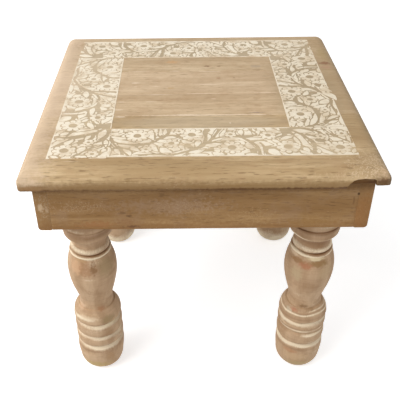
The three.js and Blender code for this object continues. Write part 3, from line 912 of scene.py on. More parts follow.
boards = zip(BOARD_FINISHES, [None, *JOINTS], [*JOINTS, None])
for number, (board_name, low, high) in enumerate(boards):
    mesh = saw_board(panel, low, high)
    for cutter in CUTTERS if board_name == "front" else ():
        mesh = cut_away(mesh, cutter)
        print("cut to", len(mesh.polygons), "faces")
    for x, y in sum(SCREW_PLACES.values(), []):
        if (low or -PANEL_DEPTH) < y < (high or PANEL_DEPTH):
            mesh = cut_away(mesh, pilot_hole(x, y))
    lay_grain(mesh, 0, (0.37 * number, 0.11 * number, 0.9 * number))
    piece = show("board_" + board_name, mesh, BOARD_FINISHES[board_name])
    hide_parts("top_board_" + board_name)

# %% [markdown]
# ## The printed border
# The border is a running vine with open flowers, stamped in cream paint from a
# carved block along each side and turned to follow the square. Bare wood shows
# as the stems, the outlines and the flowers' eyes. An image could carry it, but
# it would blur up close. Instead each leaf, flower and stem is a small formula
# for the distance to its edge. They are laid over each other in one field on a
# fine grid, and paint is where that field is below zero. So its outline can be
# traced and cut out as a thin film of real thickness, with the uneven edge that
# a wooden block leaves.

# %% The drawing of one strip, in millimetres along and across it
STRIP_WIDTH = 48.3
FLOWERS = [
    # along, across, reach, eye, petals
    (-56, 13, 10.2, 3.6, 10), (-8, 12, 10.2, 3.6, 10), (26, 34.5, 10, 3.9, 10),
    (74, 34, 10, 3.9, 9), (118, 35.5, 9.6, 3.8, 9), (-26, 26.5, 6.8, 2.7, 7),
    (59, 14, 7, 2.7, 7), (26, 12, 5, 1.9, 6), (-47.5, 36.5, 5, 1.5, 6),
    (104.5, 17, 4.6, 1.5, 5), (-19, 6, 4.6, 1.5, 6), (124, 12, 5.4, 1.8, 6),
]
STEMS = [
    # half width, points along the stem
    (1.1, [(-82, -4), (-83, 5), (-82, 14)]),
    (1.1, [(-82, 14), (-79, 20), (-71, 26), (-58, 28.5), (-47, 27.5), (-40, 23),
           (-34, 16), (-29, 9), (-28, 0)]),
    (0.8, [(-35, 15.5), (-27, 12.5), (-18, 15)]),
    (1.1, [(-80, 18), (-74, 30), (-68, 38), (-60, 49)]),
    (0.9, [(-83, 18), (-86, 28), (-89, 36), (-92, 44)]),
    (0.7, [(-52, 45.5), (-38, 44.5), (-27, 47)]),
    (1.4, [(-29, 47), (-20, 44), (-10, 39), (-1, 33), (5, 26), (9, 20), (13, 12),
           (16, 4), (17, -2)]),
    (1.1, [(2, 30), (4.5, 20), (4, 10), (6, 2)]),
    (0.8, [(5, 28), (12, 26), (20, 25.5)]),
    (1.2, [(9, 21), (16, 17.5), (26, 15.8), (36, 18), (43, 25), (48, 33), (49, 42),
           (48, 48)]),
    (1.1, [(36, 17), (44, 15), (49, 12), (44, 4), (42, -1)]),
    (0.8, [(43, 24), (50, 23.6), (56, 24)]),
    (1.1, [(51, 27), (54, 36), (55, 48)]),
    (0.9, [(55, 34), (60, 35.5), (66, 39)]),
    (4.0, [(75, 3), (75.5, 8)]),
    (1.4, [(76, 8), (72, 15), (66, 18)]),
    (0.7, [(79, 10), (84, 20), (86, 30), (85, 40)]),
    (1.1, [(79, 4), (88, 12), (94, 22), (97, 32), (96, 40), (94, 49)]),
    (0.9, [(79, 2), (90, 2.5), (100, 6), (105, 10)]),
    (0.9, [(93, 14), (99, 15)]),
    (0.8, [(98, 31), (104, 38), (111, 44)]),
    (2.4, [(102, 23), (106, 24)]),
    (0.8, [(108, 2), (114, 12), (120, 20), (128, 26)]),
    (1.9, [(5, 39), (9, 38)]), (2.0, [(44, 38), (44, 43)]), (1.9, [(-12, 29), (-11, 33)]),
]
LEAVES = [
    # foot along and across, tip along and across, width, bend
    (-80, 3, -63, 4.5, 4, 0), (-80, 9, -67, 8, 5, 0.1), (-79, 14, -64, 18.5, 3.4, 0.05),
    (-77, 18.5, -55, 26, 4.6, 0.08), (-72, 27.5, -56, 32, 4.4, 0.08),
    (-61, 47.5, -67, 35, 6, 0.05), (-78, 23, -72, 35, 3.4, -0.05), (-82, 17, -80, 31, 4.6, 0),
    (-87, 21, -89, 33, 4, 0), (-82, 31, -78, 47, 9, 0.1), (-77, 46.5, -62, 46.5, 2.8, 0),
    (-74, 35, -69, 44, 3.4, 0), (-44, 3, -41, 21, 6, 0.12), (-36, 13, -36, 1, 3, 0.05),
    (-32, 12, -31.5, 1, 2.8, 0), (-41, 21.5, -19, 17.5, 4.6, 0.14), (-61, 33, -53, 38.5, 4.6, 0),
    (-58, 43.5, -42, 43, 4, -0.1), (-43, 27, -37, 40, 5.6, 0.1), (-35, 34, -24, 43.5, 7, 0.1),
    (-27, 45.5, -10.5, 36, 6, 0.12), (-18.5, 29, -15, 38, 3.4, 0), (-17, 22, -7, 26.5, 4.4, 0.1),
    (-2, 22, -4.5, 33, 4.4, 0), (7.2, 25, 6.5, 11, 4.6, 0.06), (9.5, 19, 15, 1.5, 3, 0.05),
    (12.5, 18, 19.8, 0.5, 3.4, 0.08), (17, 16, 22.5, 2, 3.4, 0), (24, 3, 31, 3.2, 4, 0),
    (33, 13, 33, 4, 3.6, 0), (36, 4, 36, 14, 4.2, 0.1), (38, 4, 45, 2.5, 3.2, 0),
    (9, 24, 41, 27, 5.6, -0.28), (3.5, 31, 18, 28.5, 5.4, 0), (-11, 42.5, 3, 36.5, 4.6, 0.1),
    (-12, 46.6, 5, 45.5, 3.6, 0), (9, 43, 19, 46, 6.4, 0), (11, 35, 15, 42, 5.4, 0),
    (39, 27, 46, 38, 5, 0.1), (37, 46, 49, 46.6, 3, 0), (50, 26, 51.5, 48, 3.2, 0.03),
    (38, 20.3, 55, 20.3, 4.2, 0), (46, 26.5, 61, 30.5, 7.6, 0), (47, 13, 46.5, 1.5, 3, 0.05),
    (50.5, 1.5, 57, 6.5, 4, 0), (58, 1.8, 71, 9, 6.6, 0.1), (52, 5, 50, 14, 3.2, 0.1),
    (66, 20, 71, 11.5, 4, 0), (57, 38, 66, 47, 7.6, 0.05), (69, 21.5, 82, 15, 4.2, 0),
    (83, 40, 93, 46.5, 5.4, 0), (84, 11.5, 94.5, 36, 8.4, 0.12), (81, 6, 100, 10, 5.8, -0.04),
    (87, 36, 91, 43, 4.4, 0), (92, 17, 101, 20.5, 3.4, 0), (98, 31, 111, 35.5, 6, 0.08),
    (98, 34.5, 112, 47, 5, 0.1), (98.5, 45, 99, 38, 3.2, 0), (110, 14, 108, 28, 5.4, 0.1),
    (112, 19, 124, 23, 5.4, 0.1), (129, 14, 128.5, 28, 2.6, 0.05), (101, 3, 112, 2, 3.2, 0),
    (110, 5, 116, 14.5, 3.4, 0), (116, 2, 121, 4.5, 3.4, 0), (107, 25, 111, 31, 3.4, 0),
    (-70, 2, -72, 9, 3, 0), (-46, 46.6, -30, 46.8, 2.2, 0), (62, 22, 68, 28, 3.4, 0),
    (17, 22, 33, 22, 2.8, -0.12), (127, 45, 130, 38, 3, 0),
]
print("one strip:", len(FLOWERS), "flowers,", len(STEMS), "stems,", len(LEAVES), "leaves")


# %% Distances to the drawn shapes
LEAF_SLIMNESS = 1.9           # a drawn width over half the printed one
LEAF_LEAN = 0.75              # below 1, a leaf is widest near its foot
PETAL_DEPTH, PETAL_ROUNDNESS = 0.3, 0.55
SLIT_HALF, SLIT_START = 0.42, 0.62    # between petals, the start as a share of the reach


def leaf_distance(along, across, foot_x, foot_y, tip_x, tip_y, width, bend):
    run = np.array((tip_x - foot_x, tip_y - foot_y), float)
    length = np.linalg.norm(run)
    run /= length
    share = ((along - foot_x) * run[0] + (across - foot_y) * run[1]) / length
    inside = np.clip(share, 0, 1)
    aside = -(along - foot_x) * run[1] + (across - foot_y) * run[0]
    aside = np.abs(aside - bend * length * 4 * inside * (1 - inside))
    half = width / LEAF_SLIMNESS * np.sin(math.pi * inside ** LEAF_LEAN)
    beyond = np.hypot(np.maximum(aside - half, 0), (share - inside) * length)
    return beyond + np.minimum(aside - half, 0)


def flower_distance(along, across, x, y, reach, eye, petals, turn):
    away = np.hypot(along - x, across - y)
    petal = np.abs(np.cos(np.arctan2(across - y, along - x) * petals / 2 + turn))
    edge = reach * (1 - PETAL_DEPTH + PETAL_DEPTH * petal ** PETAL_ROUNDNESS)
    slit = SLIT_HALF - petal * away * 2 / petals
    slit = np.where(away > reach * SLIT_START, slit, -1)
    return np.maximum.reduce([away - edge, eye - away, slit])


def stem_distance(along, across, points, steps=4):
    """Distance to a smooth line through the points."""
    p = np.array([points[0], *points, points[-1]], float)
    line = []
    for a, b, c, d in zip(p, p[1:], p[2:], p[3:]):
        t = np.arange(steps)[:, None] / steps
        line.extend(b + (c - a) * t / 2 + (2 * a - 5 * b + 4 * c - d) * t ** 2 / 2
                    + (3 * b - a - 3 * c + d) * t ** 3 / 2)
    line.append(p[-1])
    nearest = np.full(along.shape, 1e9)
    for (x, y), (next_x, next_y) in zip(line, line[1:]):
        run_x, run_y = next_x - x, next_y - y
        share = ((along - x) * run_x + (across - y) * run_y) / (run_x ** 2 + run_y ** 2)
        share = np.clip(share, 0, 1)
        nearest = np.minimum(
            nearest, np.hypot(along - x - share * run_x, across - y - share * run_y))
    return nearest


# %% The painted field of a strip
GRID = 0.5
INNER_HALF = 80.4             # half the length of the inner ruled line
SHAPE_GAP = 0.8               # bare wood round a leaf or a flower
LEAF_SWELL, STEM_SWELL = 0.25, 0.35
LANE = 1.45                   # bare wood between the shapes and the ground's paint
RULE_PLACE, RULE_HALF = 0.6, 0.55
UNSHAPED, NO_ROOM = 3.0, 99.0     # where no shape has been drawn yet


def printed_over(field, away):
    """The field with one more shape, inside a bare gap."""
    return np.minimum(np.maximum(field, SHAPE_GAP - away), away)


def strip_field(low, high, shifts, strays, seed):
    """Below zero where the strip is painted, on a grid along and across it.

    Strays are leaves that were stamped across the strip's outer edge.
    """
    grid_x = np.arange(low - 2, high + 2, GRID)
    grid_y = np.arange(-2, STRIP_WIDTH + 5, GRID)
    along, across = np.meshgrid(grid_x, grid_y)
    spots = np.column_stack([along.ravel(), across.ravel(), np.zeros(along.size)])
    field, room = np.full(along.shape, UNSHAPED), np.full(along.shape, NO_ROOM)
    for shift in shifts:
        x = along - shift
        for row in LEAVES:
            away = leaf_distance(x, across, *row) - LEAF_SWELL
            field = printed_over(field, away)
            room = np.minimum(room, away)
        for half, points in STEMS:
            away = stem_distance(x, across, points) - half
            field = np.maximum(field, -away)
            room = np.minimum(room, away + STEM_SWELL)
        for turn, row in enumerate(FLOWERS):
            away = flower_distance(x, across, *row, turn=0.7 * turn)
            field = printed_over(field, away)
            eye = np.hypot(x - row[0], across - row[1]) - 0.8 * row[3]
            room = np.minimum(room, np.minimum(away, eye))

    def uneven(strength, wavelength, offset):
        waves = wavering(spots, wavelength, seed + offset, 30).reshape(along.shape)
        return strength * waves

    cloud = uneven(1, 11, 1)
    field = np.minimum(field, LANE - room + 0.35 * cloud + uneven(0.4, 4.5, 5))
    within_corners = np.abs(along) - INNER_HALF
    inner_rule = np.maximum(np.abs(across - RULE_PLACE) - RULE_HALF, within_corners)
    outer_rule = np.abs(across - STRIP_WIDTH + RULE_PLACE) - RULE_HALF
    field = np.minimum(np.minimum(field, inner_rule), outer_rule)
    field += uneven(0.16, 3, 2) + uneven(0.08, 1.4, 3)
    worn = 0.3 * np.abs(cloud)
    met_by_next = (within_corners > 0) & (across < STRIP_WIDTH / 2)
    field = np.maximum.reduce([
        field, np.where(met_by_next, 0, worn) - across, across - STRIP_WIDTH + worn,
        low - along, along - high])
    for row in strays:
        field = printed_over(field, leaf_distance(along, across, *row) + uneven(0.15, 3, 4))
    return grid_x, grid_y, field


# %% [markdown]
# ## From a drawing to a film of paint
# The edge of the paint crosses the grid between a point below zero and one
# above it. Joining these crossings cell by cell gives closed outlines, which
# are then filled with triangles. The long way round, drawing each leaf as a
# curve object, gives the same shapes but not the broken, worn edges.


# %% Trace and fill the outlines
def traced(grid_x, grid_y, field):
    """Points and edges where the field passes zero."""
    inside = field < 0
    places, edges = {}, []

    def crossing(r, c, r2, c2):
        key = (r, c, r2, c2)
        if key not in places:
            first, second = field[r, c], field[r2, c2]
            t = first / (first - second)
            places[key] = (len(places), grid_x[c] + t * (grid_x[c2] - grid_x[c]),
                           grid_y[r] + t * (grid_y[r2] - grid_y[r]))
        return places[key][0]

    count = (inside[:-1, :-1].astype(int) + inside[1:, :-1] + inside[:-1, 1:] + inside[1:, 1:])
    for r, c in zip(*np.nonzero((count > 0) & (count < 4))):
        sides = [(r, c, r, c + 1), (r, c + 1, r + 1, c + 1),
                 (r + 1, c, r + 1, c + 1), (r, c, r + 1, c)]
        met = [crossing(*side) for side in sides
               if inside[side[0], side[1]] != inside[side[2], side[3]]]
        if len(met) == 4:
            middle_in = field[r:r + 2, c:c + 2].mean() < 0
            if middle_in != inside[r, c]:
                met = [met[0], met[3], met[1], met[2]]
        edges.extend(zip(met[::2], met[1::2]))
    points = [place[1:] for place in places.values()]
    return points, edges


def paint_film(grid_x, grid_y, field):
    """Flat triangles over the painted part of the grid."""
    points, edges = traced(grid_x, grid_y, field)
    bm = bmesh.new()
    corners = [bm.verts.new((x, y, 0)) for x, y in points]
    for first, second in edges:
        if first != second:
            bm.edges.new((corners[first], corners[second]))
    bmesh.ops.dissolve_limit(
        bm, angle_limit=math.radians(9), verts=bm.verts[:], edges=bm.edges[:])
    bm.verts.index_update()
    flat = [v.co.to_2d() for v in bm.verts]
    links = [tuple(v.index for v in e.verts) for e in bm.edges]
    bm.free()
    found, _, triangles, *_ = delaunay_2d_cdt(flat, links, [], 0, 1e-4)
    spots = np.array([tuple(p) for p in found])
    triangles = np.array(triangles)
    middles = spots[triangles].mean(1)
    column = ((middles[:, 0] - grid_x[0]) / GRID).clip(0, len(grid_x) - 1.001)
    row = ((middles[:, 1] - grid_y[0]) / GRID).clip(0, len(grid_y) - 1.001)
    c, r = column.astype(int), row.astype(int)
    u, v = column - c, row - r
    value = ((field[r, c] * (1 - u) + field[r, c + 1] * u) * (1 - v)
             + (field[r + 1, c] * (1 - u) + field[r + 1, c + 1] * u) * v)
    return spots, triangles[value < 0]


# %% Stamp the four strips
FILM_SUNK = 0.15              # how far the film reaches down into the wood
SIDE_STRETCH = 1.045          # the side strips are this much wider than the block
STRIPS = {
    # from, to, shifts of the block, corner of the strip, direction along it, across it
    "front": (-80.1, 131, (0,), (-0.4, -77.5), (1, 0), (0, -1)),
    "right": (-80.5, 80.8, (0,), (79.8, 3.4), (0, 1), (1, 0)),
    "back": (-131, 131, (34, -129), (-0.4, 84.3), (-1, 0), (0, 1)),
    "left": (-80.8, 131, (0,), (-80.6, 3.4), (0, -1), (-1, 0)),
}
STRAY_LEAVES = {"right": [(3, 41, -9, 50, 6.5, 0.1), (-11, 40, -29, 50.5, 7, -0.14)]}
for number, (side, (low, high, shifts, origin, along, across)) in enumerate(STRIPS.items()):
    spots, triangles = paint_film(*strip_field(
        low, high, shifts, STRAY_LEAVES.get(side, ()), seed=60 + 5 * number))
    stretch = SIDE_STRETCH if side in ("left", "right") else 1
    flat = (np.array(origin) + spots[:, :1] * along + stretch * spots[:, 1:] * across)
    points = lifted(flat, PANEL_UNDERSIDE + PANEL_THICKNESS)
    mesh = bpy.data.meshes.new("print")
    mesh.from_pydata(points * MM, [], [tuple(t[::-1]) for t in triangles.tolist()])
    lay_grain(mesh, 0, (0.1 * number, 0.3, 0.2))
    piece = show("printed_border_" + side, mesh, paint_finish, crease=0)
    thickness = piece.modifiers.new("film", "SOLIDIFY")
    thickness.thickness, thickness.offset = (FILM + FILM_SUNK) * MM, -1

# %% [markdown]
# ## The apron
# Four boards stand on edge under the top. The side boards run the whole depth,
# so their end grain shows at the front corners.

# %% The four apron boards
APRON_HALF, APRON_THICKNESS, APRON_HEIGHT = 143, 12, 47
APRON_MIDDLE = PANEL_UNDERSIDE - APRON_HEIGHT / 2
APRON_RADII = {
    "front": (0.4, 0.4, 1.4, 1.4), "back": (0.4, 0.4, 1.4, 1.4),
    "left": (0.4, 0.4, 3.2, 1.4), "right": (0.4, 0.4, 1.4, 3.2),
}
END_EASES = ((0.25, 0), (0.07, 0.07), (0, 0.25))
LOW_EDGE_HEIGHT, LOW_EDGE_WEAR = 2, 0.12


def bar_rings(outline_at, length, eases, spacing):
    """Rings along a bar of the given length, with softened ends."""
    stations = [(inset, from_end - length / 2) for inset, from_end in eases]
    inner = length / 2 - eases[-1][1]
    middle = [(0, p) for p in np.linspace(-inner, inner, max(2, round(2 * inner / spacing)))]
    stations += middle[1:-1] + [(inset, -place) for inset, place in reversed(stations)]
    return [(outline_at(inset), place) for inset, place in stations]


def ring_on_side(side, place, out, height):
    """The section of a board, set at a place along one side of the table."""
    return np.column_stack([*on_side(side, np.full(len(out), place), out), height])


def apron_board(side):
    axis, sign = SIDES[side]
    length = 2 * (APRON_HALF if axis else APRON_HALF - APRON_THICKNESS)
    middle = APRON_HALF - APRON_THICKNESS / 2

    def outline_at(inset):
        return rounded_outline(APRON_THICKNESS, APRON_HEIGHT, APRON_RADII[side], 3, inset)

    rings = np.array([
        ring_on_side(side, place, sign * outline[:, 0] + middle, outline[:, 1] + APRON_MIDDLE)
        for outline, place in bar_rings(outline_at, length, END_EASES, 4)])
    if axis == 0:
        rings = rings[:, ::-1]
    worn = LOW_EDGE_WEAR * wavering(rings.reshape(-1, 3), 30, seed=21).reshape(rings.shape[:2])
    low_edge = rings[:, :, 2] < PANEL_UNDERSIDE - APRON_HEIGHT + LOW_EDGE_HEIGHT
    rings[:, :, 2] += np.where(low_edge, np.abs(worn), 0)
    return skin("apron", rings)


for number, (side, (axis, sign)) in enumerate(SIDES.items()):
    mesh = apron_board(side)
    lay_grain(mesh, axis, (0.7 + 0.23 * number, 0.4, 0.31 * number))
    piece = show("apron_board_" + side, mesh, apron_finish)
    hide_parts("apron_" + side)

# %% [markdown]
# ## The legs
# A leg is turned on a lathe from a square post: the turner leaves the head square, and cuts
# grooves, beads and a vase shape below it. The profile is written as short curves, each from the
# point where the last one ended, and carried round. The hollows caught the rubbed-in paint, so
# how pale each point is gets stored with it, and some of that paleness is painted highlight. How
# dark each point is gets stored too; that darkness is mostly painted shade in the grooves and
# under the beads.

# %% The turner's profile
TURNED_HEIGHT = 210
LEG_CENTRE = 106.75
LEG_SIDES = 96
RING_SPACING = 0.8


def curve(corners, steps):
    """Points on the curve that its corners pull, without the first one."""
    corners = np.array(corners, float)
    degree = len(corners) - 1
    t = np.linspace(0, 1, steps + 1)[1:, None]
    return sum(
        math.comb(degree, k) * t ** k * (1 - t) ** (degree - k) * corners[k]
        for k in range(degree + 1))


def turned_profile(groove_heights, rim_cut):
    """Radius and height along the leg, from its foot to the square head."""
    foot_flat, foot, drum, groove, shoulder, quirk = 10, 23.4, 24.2, 21.7, 18.8, 18
    waist, belly, vase_top, bead, neck, cove_top = 16.9, 24.2, 19.8, 20.8, 16.5, 22.3
    cap, collar = 24, 24.15
    pieces = [[(0, 0), (foot_flat, 0)],
              [(foot_flat, 0), (17.4, 0), (foot, 7.6), (foot, 17)]]

    def go(*corners):
        pieces.append([pieces[-1][-1], *corners])

    for height in groove_heights:
        last = pieces[-1][-1][1]
        go((drum + 1, (last + height) / 2), (drum - 0.1, height - 2.7))
        go((drum - 0.9, height - 1.9), (groove, height - 1.1), (groove, height))
        go((groove, height + 1.1), (drum - 0.9, height + 2), (drum - 0.1, height + 3))
    go((drum + 0.7, 76), (drum, 77.7))
    go((drum, 83.5), (shoulder, 89.2))
    go((quirk, 89.3))
    go((waist, 89.5), (waist, 97.2))
    go((waist, 102.8), (belly, 117.9), (belly, 136.9))
    go((belly, 147.5), (vase_top, 158.1))
    go((bead, 158.1), (bead, 161.3), (17.6, 161.4))
    go((17.6, 162.2))
    go((19.6, 162.2), (19.9, 165), (neck + 0.4, 168))
    go((neck, 170))
    go((neck, 174.8), (cove_top, 180))
    go((cap, 180), (cap, 190.4))
    go((rim_cut, 190.7), (rim_cut, 191.5))
    go((rim_cut, 192.4), (collar, 192.6))
    go((collar, TURNED_HEIGHT))
    points = [pieces[0][0]]
    for corners in pieces:
        length = np.linalg.norm(np.diff(np.array(corners, float), axis=0), axis=1).sum()
        points.extend(curve(corners, max(2, round(length / RING_SPACING))))
    return np.array(points)


# %% How each leg took the paint, and its painted shade and highlights
# Each ring is its height, how far it reaches down and up, how strong it is and whether it is
# stronger on the left (-1) or on the right (1). The pale rings are the paint that the hollows
# caught, and some are painted highlights on lips, beads and left sides. The dark rings are mostly
# painted shade in the creases of the grooves and under the beads and the rim, with a few brown
# patches.
BACK_LEG = {
    "grooves": (40, 53.6, 72.4), "rim_cut": 22.3, "waver": 0.4,
    "pale": [(38.6, 1.8, 1, 0.4, 0), (52.2, 1.6, 0.9, 0.36, 0), (71, 1.4, 0.9, 0.36, 0),
             (84, 4, 4, 0.18, 0), (159.6, 1, 0.8, 0.4, 0), (166, 2.2, 1.8, 0.3, 0),
             # the last ring pales the back feet: painted light against the table's shade, with
             # some whitewash
             (199, 5, 5, 0.3, 0), (8, 30, 16, 0.42, 0)],
    "shade_and_brown": [(191.3, 1.6, 1.6, 0.6, 0), (162, 0.7, 0.6, 0.8, 0), (56.5, 1.2, 1.2, 0.3, 0)],
}
LEG_LOOKS = {
    "front_left": {
        "grooves": (40, 53.6, 70.4), "rim_cut": 23.3, "waver": 0.35,
        "pale": [(38.6, 1.7, 1, 0.4, 0), (52.4, 1.6, 0.9, 0.38, 0), (69.2, 1.8, 1, 0.44, 0.2),
                 # 80.5 paints a highlight on the shoulder's left, 166.2 one on the upper bead and
                 # 176 one on the neck's left
                 (80.5, 3, 2.4, 0.38, -1),
                 (159.6, 1.2, 0.8, 0.46, 0), (166.2, 2.4, 2, 0.36, -0.4),
                 (193.6, 1.6, 2.4, 0.2, -0.3), (176, 5, 5, 0.1, -1)],
        "shade_and_brown": [(187.5, 4, 3, 0.62, 0.3), (202, 6, 6, 0.5, 0),
                  (176, 6, 6, 0.2, 0.4), (162, 0.8, 0.6, 0.9, 0), (72.4, 1.2, 1.5, 0.9, 0.4),
                  (54.6, 0.9, 1.1, 0.65, 0), (41.2, 0.9, 1.1, 0.65, 0),
                  (34.4, 1.6, 1.1, 0.4, 0), (148, 7, 6, 0.2, 1)],
    },
    "front_right": {
        "grooves": (41, 57.5, 71.4), "rim_cut": 22.8, "waver": 0.45,
        "pale": [(39.4, 2.2, 1.2, 0.48, 0), (55, 1, 0.8, 0.38, 1), (62, 1.1, 0.9, 0.36, -1),
                 (61.8, 0.8, 0.7, 0.24, 1), (69.8, 1.5, 1, 0.42, -0.6), (70.4, 1.1, 0.8, 0.36, 1),
                 (83.4, 1.2, 0.9, 0.42, 0), (86.8, 0.9, 0.7, 0.36, 1), (92, 0.7, 0.7, 0.28, 1),
                 # 166 paints a highlight on the upper bead, over its paint
                 (159.6, 2, 1, 0.5, 0), (166, 3, 2.4, 0.48, 0.3),
                 (180.8, 1, 0.9, 0.36, 0), (198, 4, 3, 0.3, 0.4), (60, 70, 90, 0.05, 0)],
        "shade_and_brown": [(190.4, 2.4, 2, 0.74, 0), (184.5, 2.5, 2.5, 0.3, 0),
                  (173.5, 5, 5.5, 0.7, 0.2), (162, 0.8, 0.6, 0.95, 0),
                  (78, 1.6, 1.6, 0.35, 0), (64.5, 1, 1, 0.4, 0), (73, 0.9, 1.1, 0.7, 0),
                  (85, 0.5, 0.5, 0.4, 0), (42.6, 0.9, 1.1, 0.7, 0), (34.6, 1.8, 1.2, 0.45, -0.6)],
    },
    "back_left": BACK_LEG,
    "back_right": BACK_LEG,
}


def banded(points, rings, waver):
    """How strongly rings at these heights show at each point of a leg."""
    height = points[:, 2] + waver * wavering(points * (1, 1, 0.3), 22, 71)
    total = np.zeros(len(points))
    for place, below, above, strength, side in rings:
        away = (height - place) / np.where(height < place, below, above)
        to_side = np.clip(0.5 + 0.09 * np.sign(side) * points[:, 0], 0, 1)
        total += strength * np.exp(-away ** 2) * (1 - abs(side) * (1 - to_side))
    return total * np.clip(1 + 0.12 * wavering(points, 14, 72), 0.6, 1.3)


# %% Turn the legs
HEAD_SQUARE, HEAD_CHAMFER = 48.5, 1.5
HEAD_RINGS = ((0.4, 0), (0, 0.4), (0, 20), (0, 43.6), (0.4, 44))    # how far in, how high
LEAST_TURNED, TURNED_MEAN = 5, -0.2     # hand turning took this much off on average


def make_leg(name, x, y, look, finish, seed):
    draw = np.random.default_rng(seed)
    circle = on_circle(angles_round(LEG_SIDES), 1)
    half = HEAD_SQUARE / 2
    square_reach = np.minimum.reduce([
        *(half / np.maximum(np.abs(circle), 1e-9)).T,
        (2 * half - HEAD_CHAMFER) / np.abs(circle).sum(1),
    ])[:, None]
    profile = turned_profile(look["grooves"], look["rim_cut"])
    rings = [lifted(circle * max(radius, 0.01), height) for radius, height in profile[1:]]
    rings += [lifted(circle * (square_reach - shrink), TURNED_HEIGHT + height)
              for shrink, height in HEAD_RINGS]
    rings = np.array(rings)
    flat = rings.reshape(-1, 3)
    uneven = 0.16 * wavering(flat * (1, 1, 0.5), 22, seed) + 0.05 * wavering(flat, 6, seed + 50)
    turned = (flat[:, 2] < TURNED_HEIGHT - 2) & (flat[:, 2] > 1)
    reach = np.maximum(np.linalg.norm(flat[:, :2], axis=1), LEAST_TURNED)
    flat[:, :2] *= np.where(turned, 1 + (uneven + TURNED_MEAN) / reach, 1)[:, None]
    smudges = 0.08 * np.clip(wavering(flat * (1, 1, 2.5), 30, seed + 9), -0.5, 2)
    mesh = skin(name, rings + np.array((x, y, 0)))
    # the pale rings with their painted highlights, then the dark rings of painted shade and brown
    # patches
    store(mesh, "pale", banded(flat, look["pale"], look["waver"]) + smudges)
    store(mesh, "shade_and_brown", np.clip(banded(flat, look["shade_and_brown"], look["waver"]), 0, 1))
    own_plank = points_of(mesh) - np.array((x, y, 0)) * MM + draw.uniform(0, 3, 3)
    store(mesh, "plank", own_plank)
    store_end_cuts(mesh, 2, 0.75, 0.2)
    return show(name, mesh, finish, 50)


for number, leg_name in enumerate(LEG_LOOKS):
    x = LEG_CENTRE if "right" in leg_name else -LEG_CENTRE
    y = LEG_CENTRE if "back" in leg_name else -LEG_CENTRE
    piece = make_leg("turned_leg_" + leg_name, x, y, LEG_LOOKS[leg_name],
                     LEG_FINISHES.get(leg_name, leg_finish), seed=30 + number)
    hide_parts("leg_" + leg_name)

# %% [markdown]
# ## The cleats and their screws
# Four cleats lie in the corner between the apron and the top, and two
# countersunk screws in each reach up into the boards and hold the top down.
# They could be left out of a picture from above, but whoever turns the table
# over looks for them. A screw is turned like a leg. Its thread is one ridge
# that climbs by its pitch with each turn, so the radius depends on the angle.

# %% The cleats
CLEAT_OUTLINE = np.array([
    (-8, -8), (6, -8), (6.4, -7.8), (7.8, -6.4), (8, -6), (8, 8), (-8, 8)])
CLEAT_RINGS, CLEAT_END_SHARE = 41, 0.985


def counterbore(x, y):
    head, shank = HEAD_RADIUS + HOLE_PLAY, SCREW_RADIUS + HOLE_PLAY
    return round_cutter([
        (head, CLEAT_UNDERSIDE - 1), (head, CLEAT_UNDERSIDE),
        (shank, CLEAT_UNDERSIDE + HEAD_HEIGHT), (shank, PANEL_UNDERSIDE + 1)], x, y)


def cleat_strip(side):
    """A strip with its chamfered edge towards the middle of the table."""
    rings = []
    for place in np.linspace(-CLEAT_HALF_LENGTH, CLEAT_HALF_LENGTH, CLEAT_RINGS):
        end = CLEAT_END_SHARE if abs(place) == CLEAT_HALF_LENGTH else 1
        out = CLEAT_MIDDLE - CLEAT_OUTLINE[:, 0] * end
        height = CLEAT_OUTLINE[:, 1] * end + CLEAT_UNDERSIDE + CLEAT_SQUARE / 2
        rings.append(ring_on_side(side, place, out, height))
    if side in ("front", "right"):
        rings = [ring[::-1] for ring in rings]
    return skin("cleat", rings)


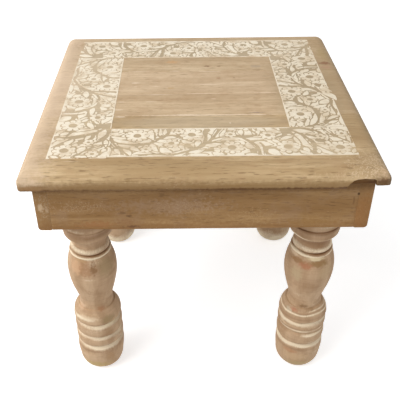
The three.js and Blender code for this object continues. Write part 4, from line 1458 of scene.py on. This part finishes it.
for number, (side, places) in enumerate(SCREW_PLACES.items()):
    mesh = cleat_strip(side)
    for x, y in places:
        mesh = cut_away(mesh, counterbore(x, y))
    lay_grain(mesh, SIDES[side][0], (0.5 * number, 0.8, 0.2))
    piece = show("cleat_strip_" + side, mesh, cleat_finish)
    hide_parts("cleat_" + side)

# %% The screws
CORE_RADIUS, THREAD_PITCH, THREAD_START = 1.35, 1.6, 11
RINGS_IN_A_TURN, SCREW_SIDES = 6, 20
SLOT_WIDTH, SLOT_DEPTH, SLOT_REACH = 1.1, 1, 6
HEAD_EASE = (0.15, 0.25)      # how far in and how high the head's edge is eased


def wood_screw(x, y, turn):
    angles = angles_round(SCREW_SIDES)
    rings = []
    heights = [0, HEAD_EASE[1], HEAD_HEIGHT, THREAD_START - 0.5]
    heights += list(np.arange(
        THREAD_START, SCREW_LENGTH - 0.3, THREAD_PITCH / RINGS_IN_A_TURN))
    for height in [*heights, SCREW_LENGTH - 0.05]:
        if height <= HEAD_HEIGHT:
            radius = HEAD_RADIUS + (SCREW_RADIUS - HEAD_RADIUS) * height / HEAD_HEIGHT
            radius -= HEAD_EASE[0] if height == 0 else 0
        elif height < THREAD_START:
            radius = SCREW_RADIUS
        else:
            climb = (height / THREAD_PITCH - angles / (2 * math.pi)) % 1
            ridge = np.clip(1 - np.abs(climb - 0.5) * 4, 0, 1)
            radius = CORE_RADIUS + (SCREW_RADIUS - CORE_RADIUS) * ridge
            radius = radius * min(1, (SCREW_LENGTH - height) / TIP_LENGTH)
        rings.append(lifted(on_circle(angles, radius, x, y), CLEAT_UNDERSIDE + height))
    along = np.array((math.cos(turn), math.sin(turn)))
    aside = np.array((-along[1], along[0])) * SLOT_WIDTH / 2
    along = along * SLOT_REACH
    corners = np.array([-along - aside, along - aside, along + aside, aside - along]) + (x, y)
    slot = skin("cutter", [lifted(corners, CLEAT_UNDERSIDE + z) for z in (-1, SLOT_DEPTH)])
    return cut_away(skin("screw", rings), slot)


for side, places in SCREW_PLACES.items():
    for number, (x, y) in enumerate(places, start=1):
        name = f"screw_{side}_{number}"
        piece = show(name, wood_screw(x, y, turn=1.3 * number + 0.4 * len(side)), screw_finish)
        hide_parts("cleat_" + name)
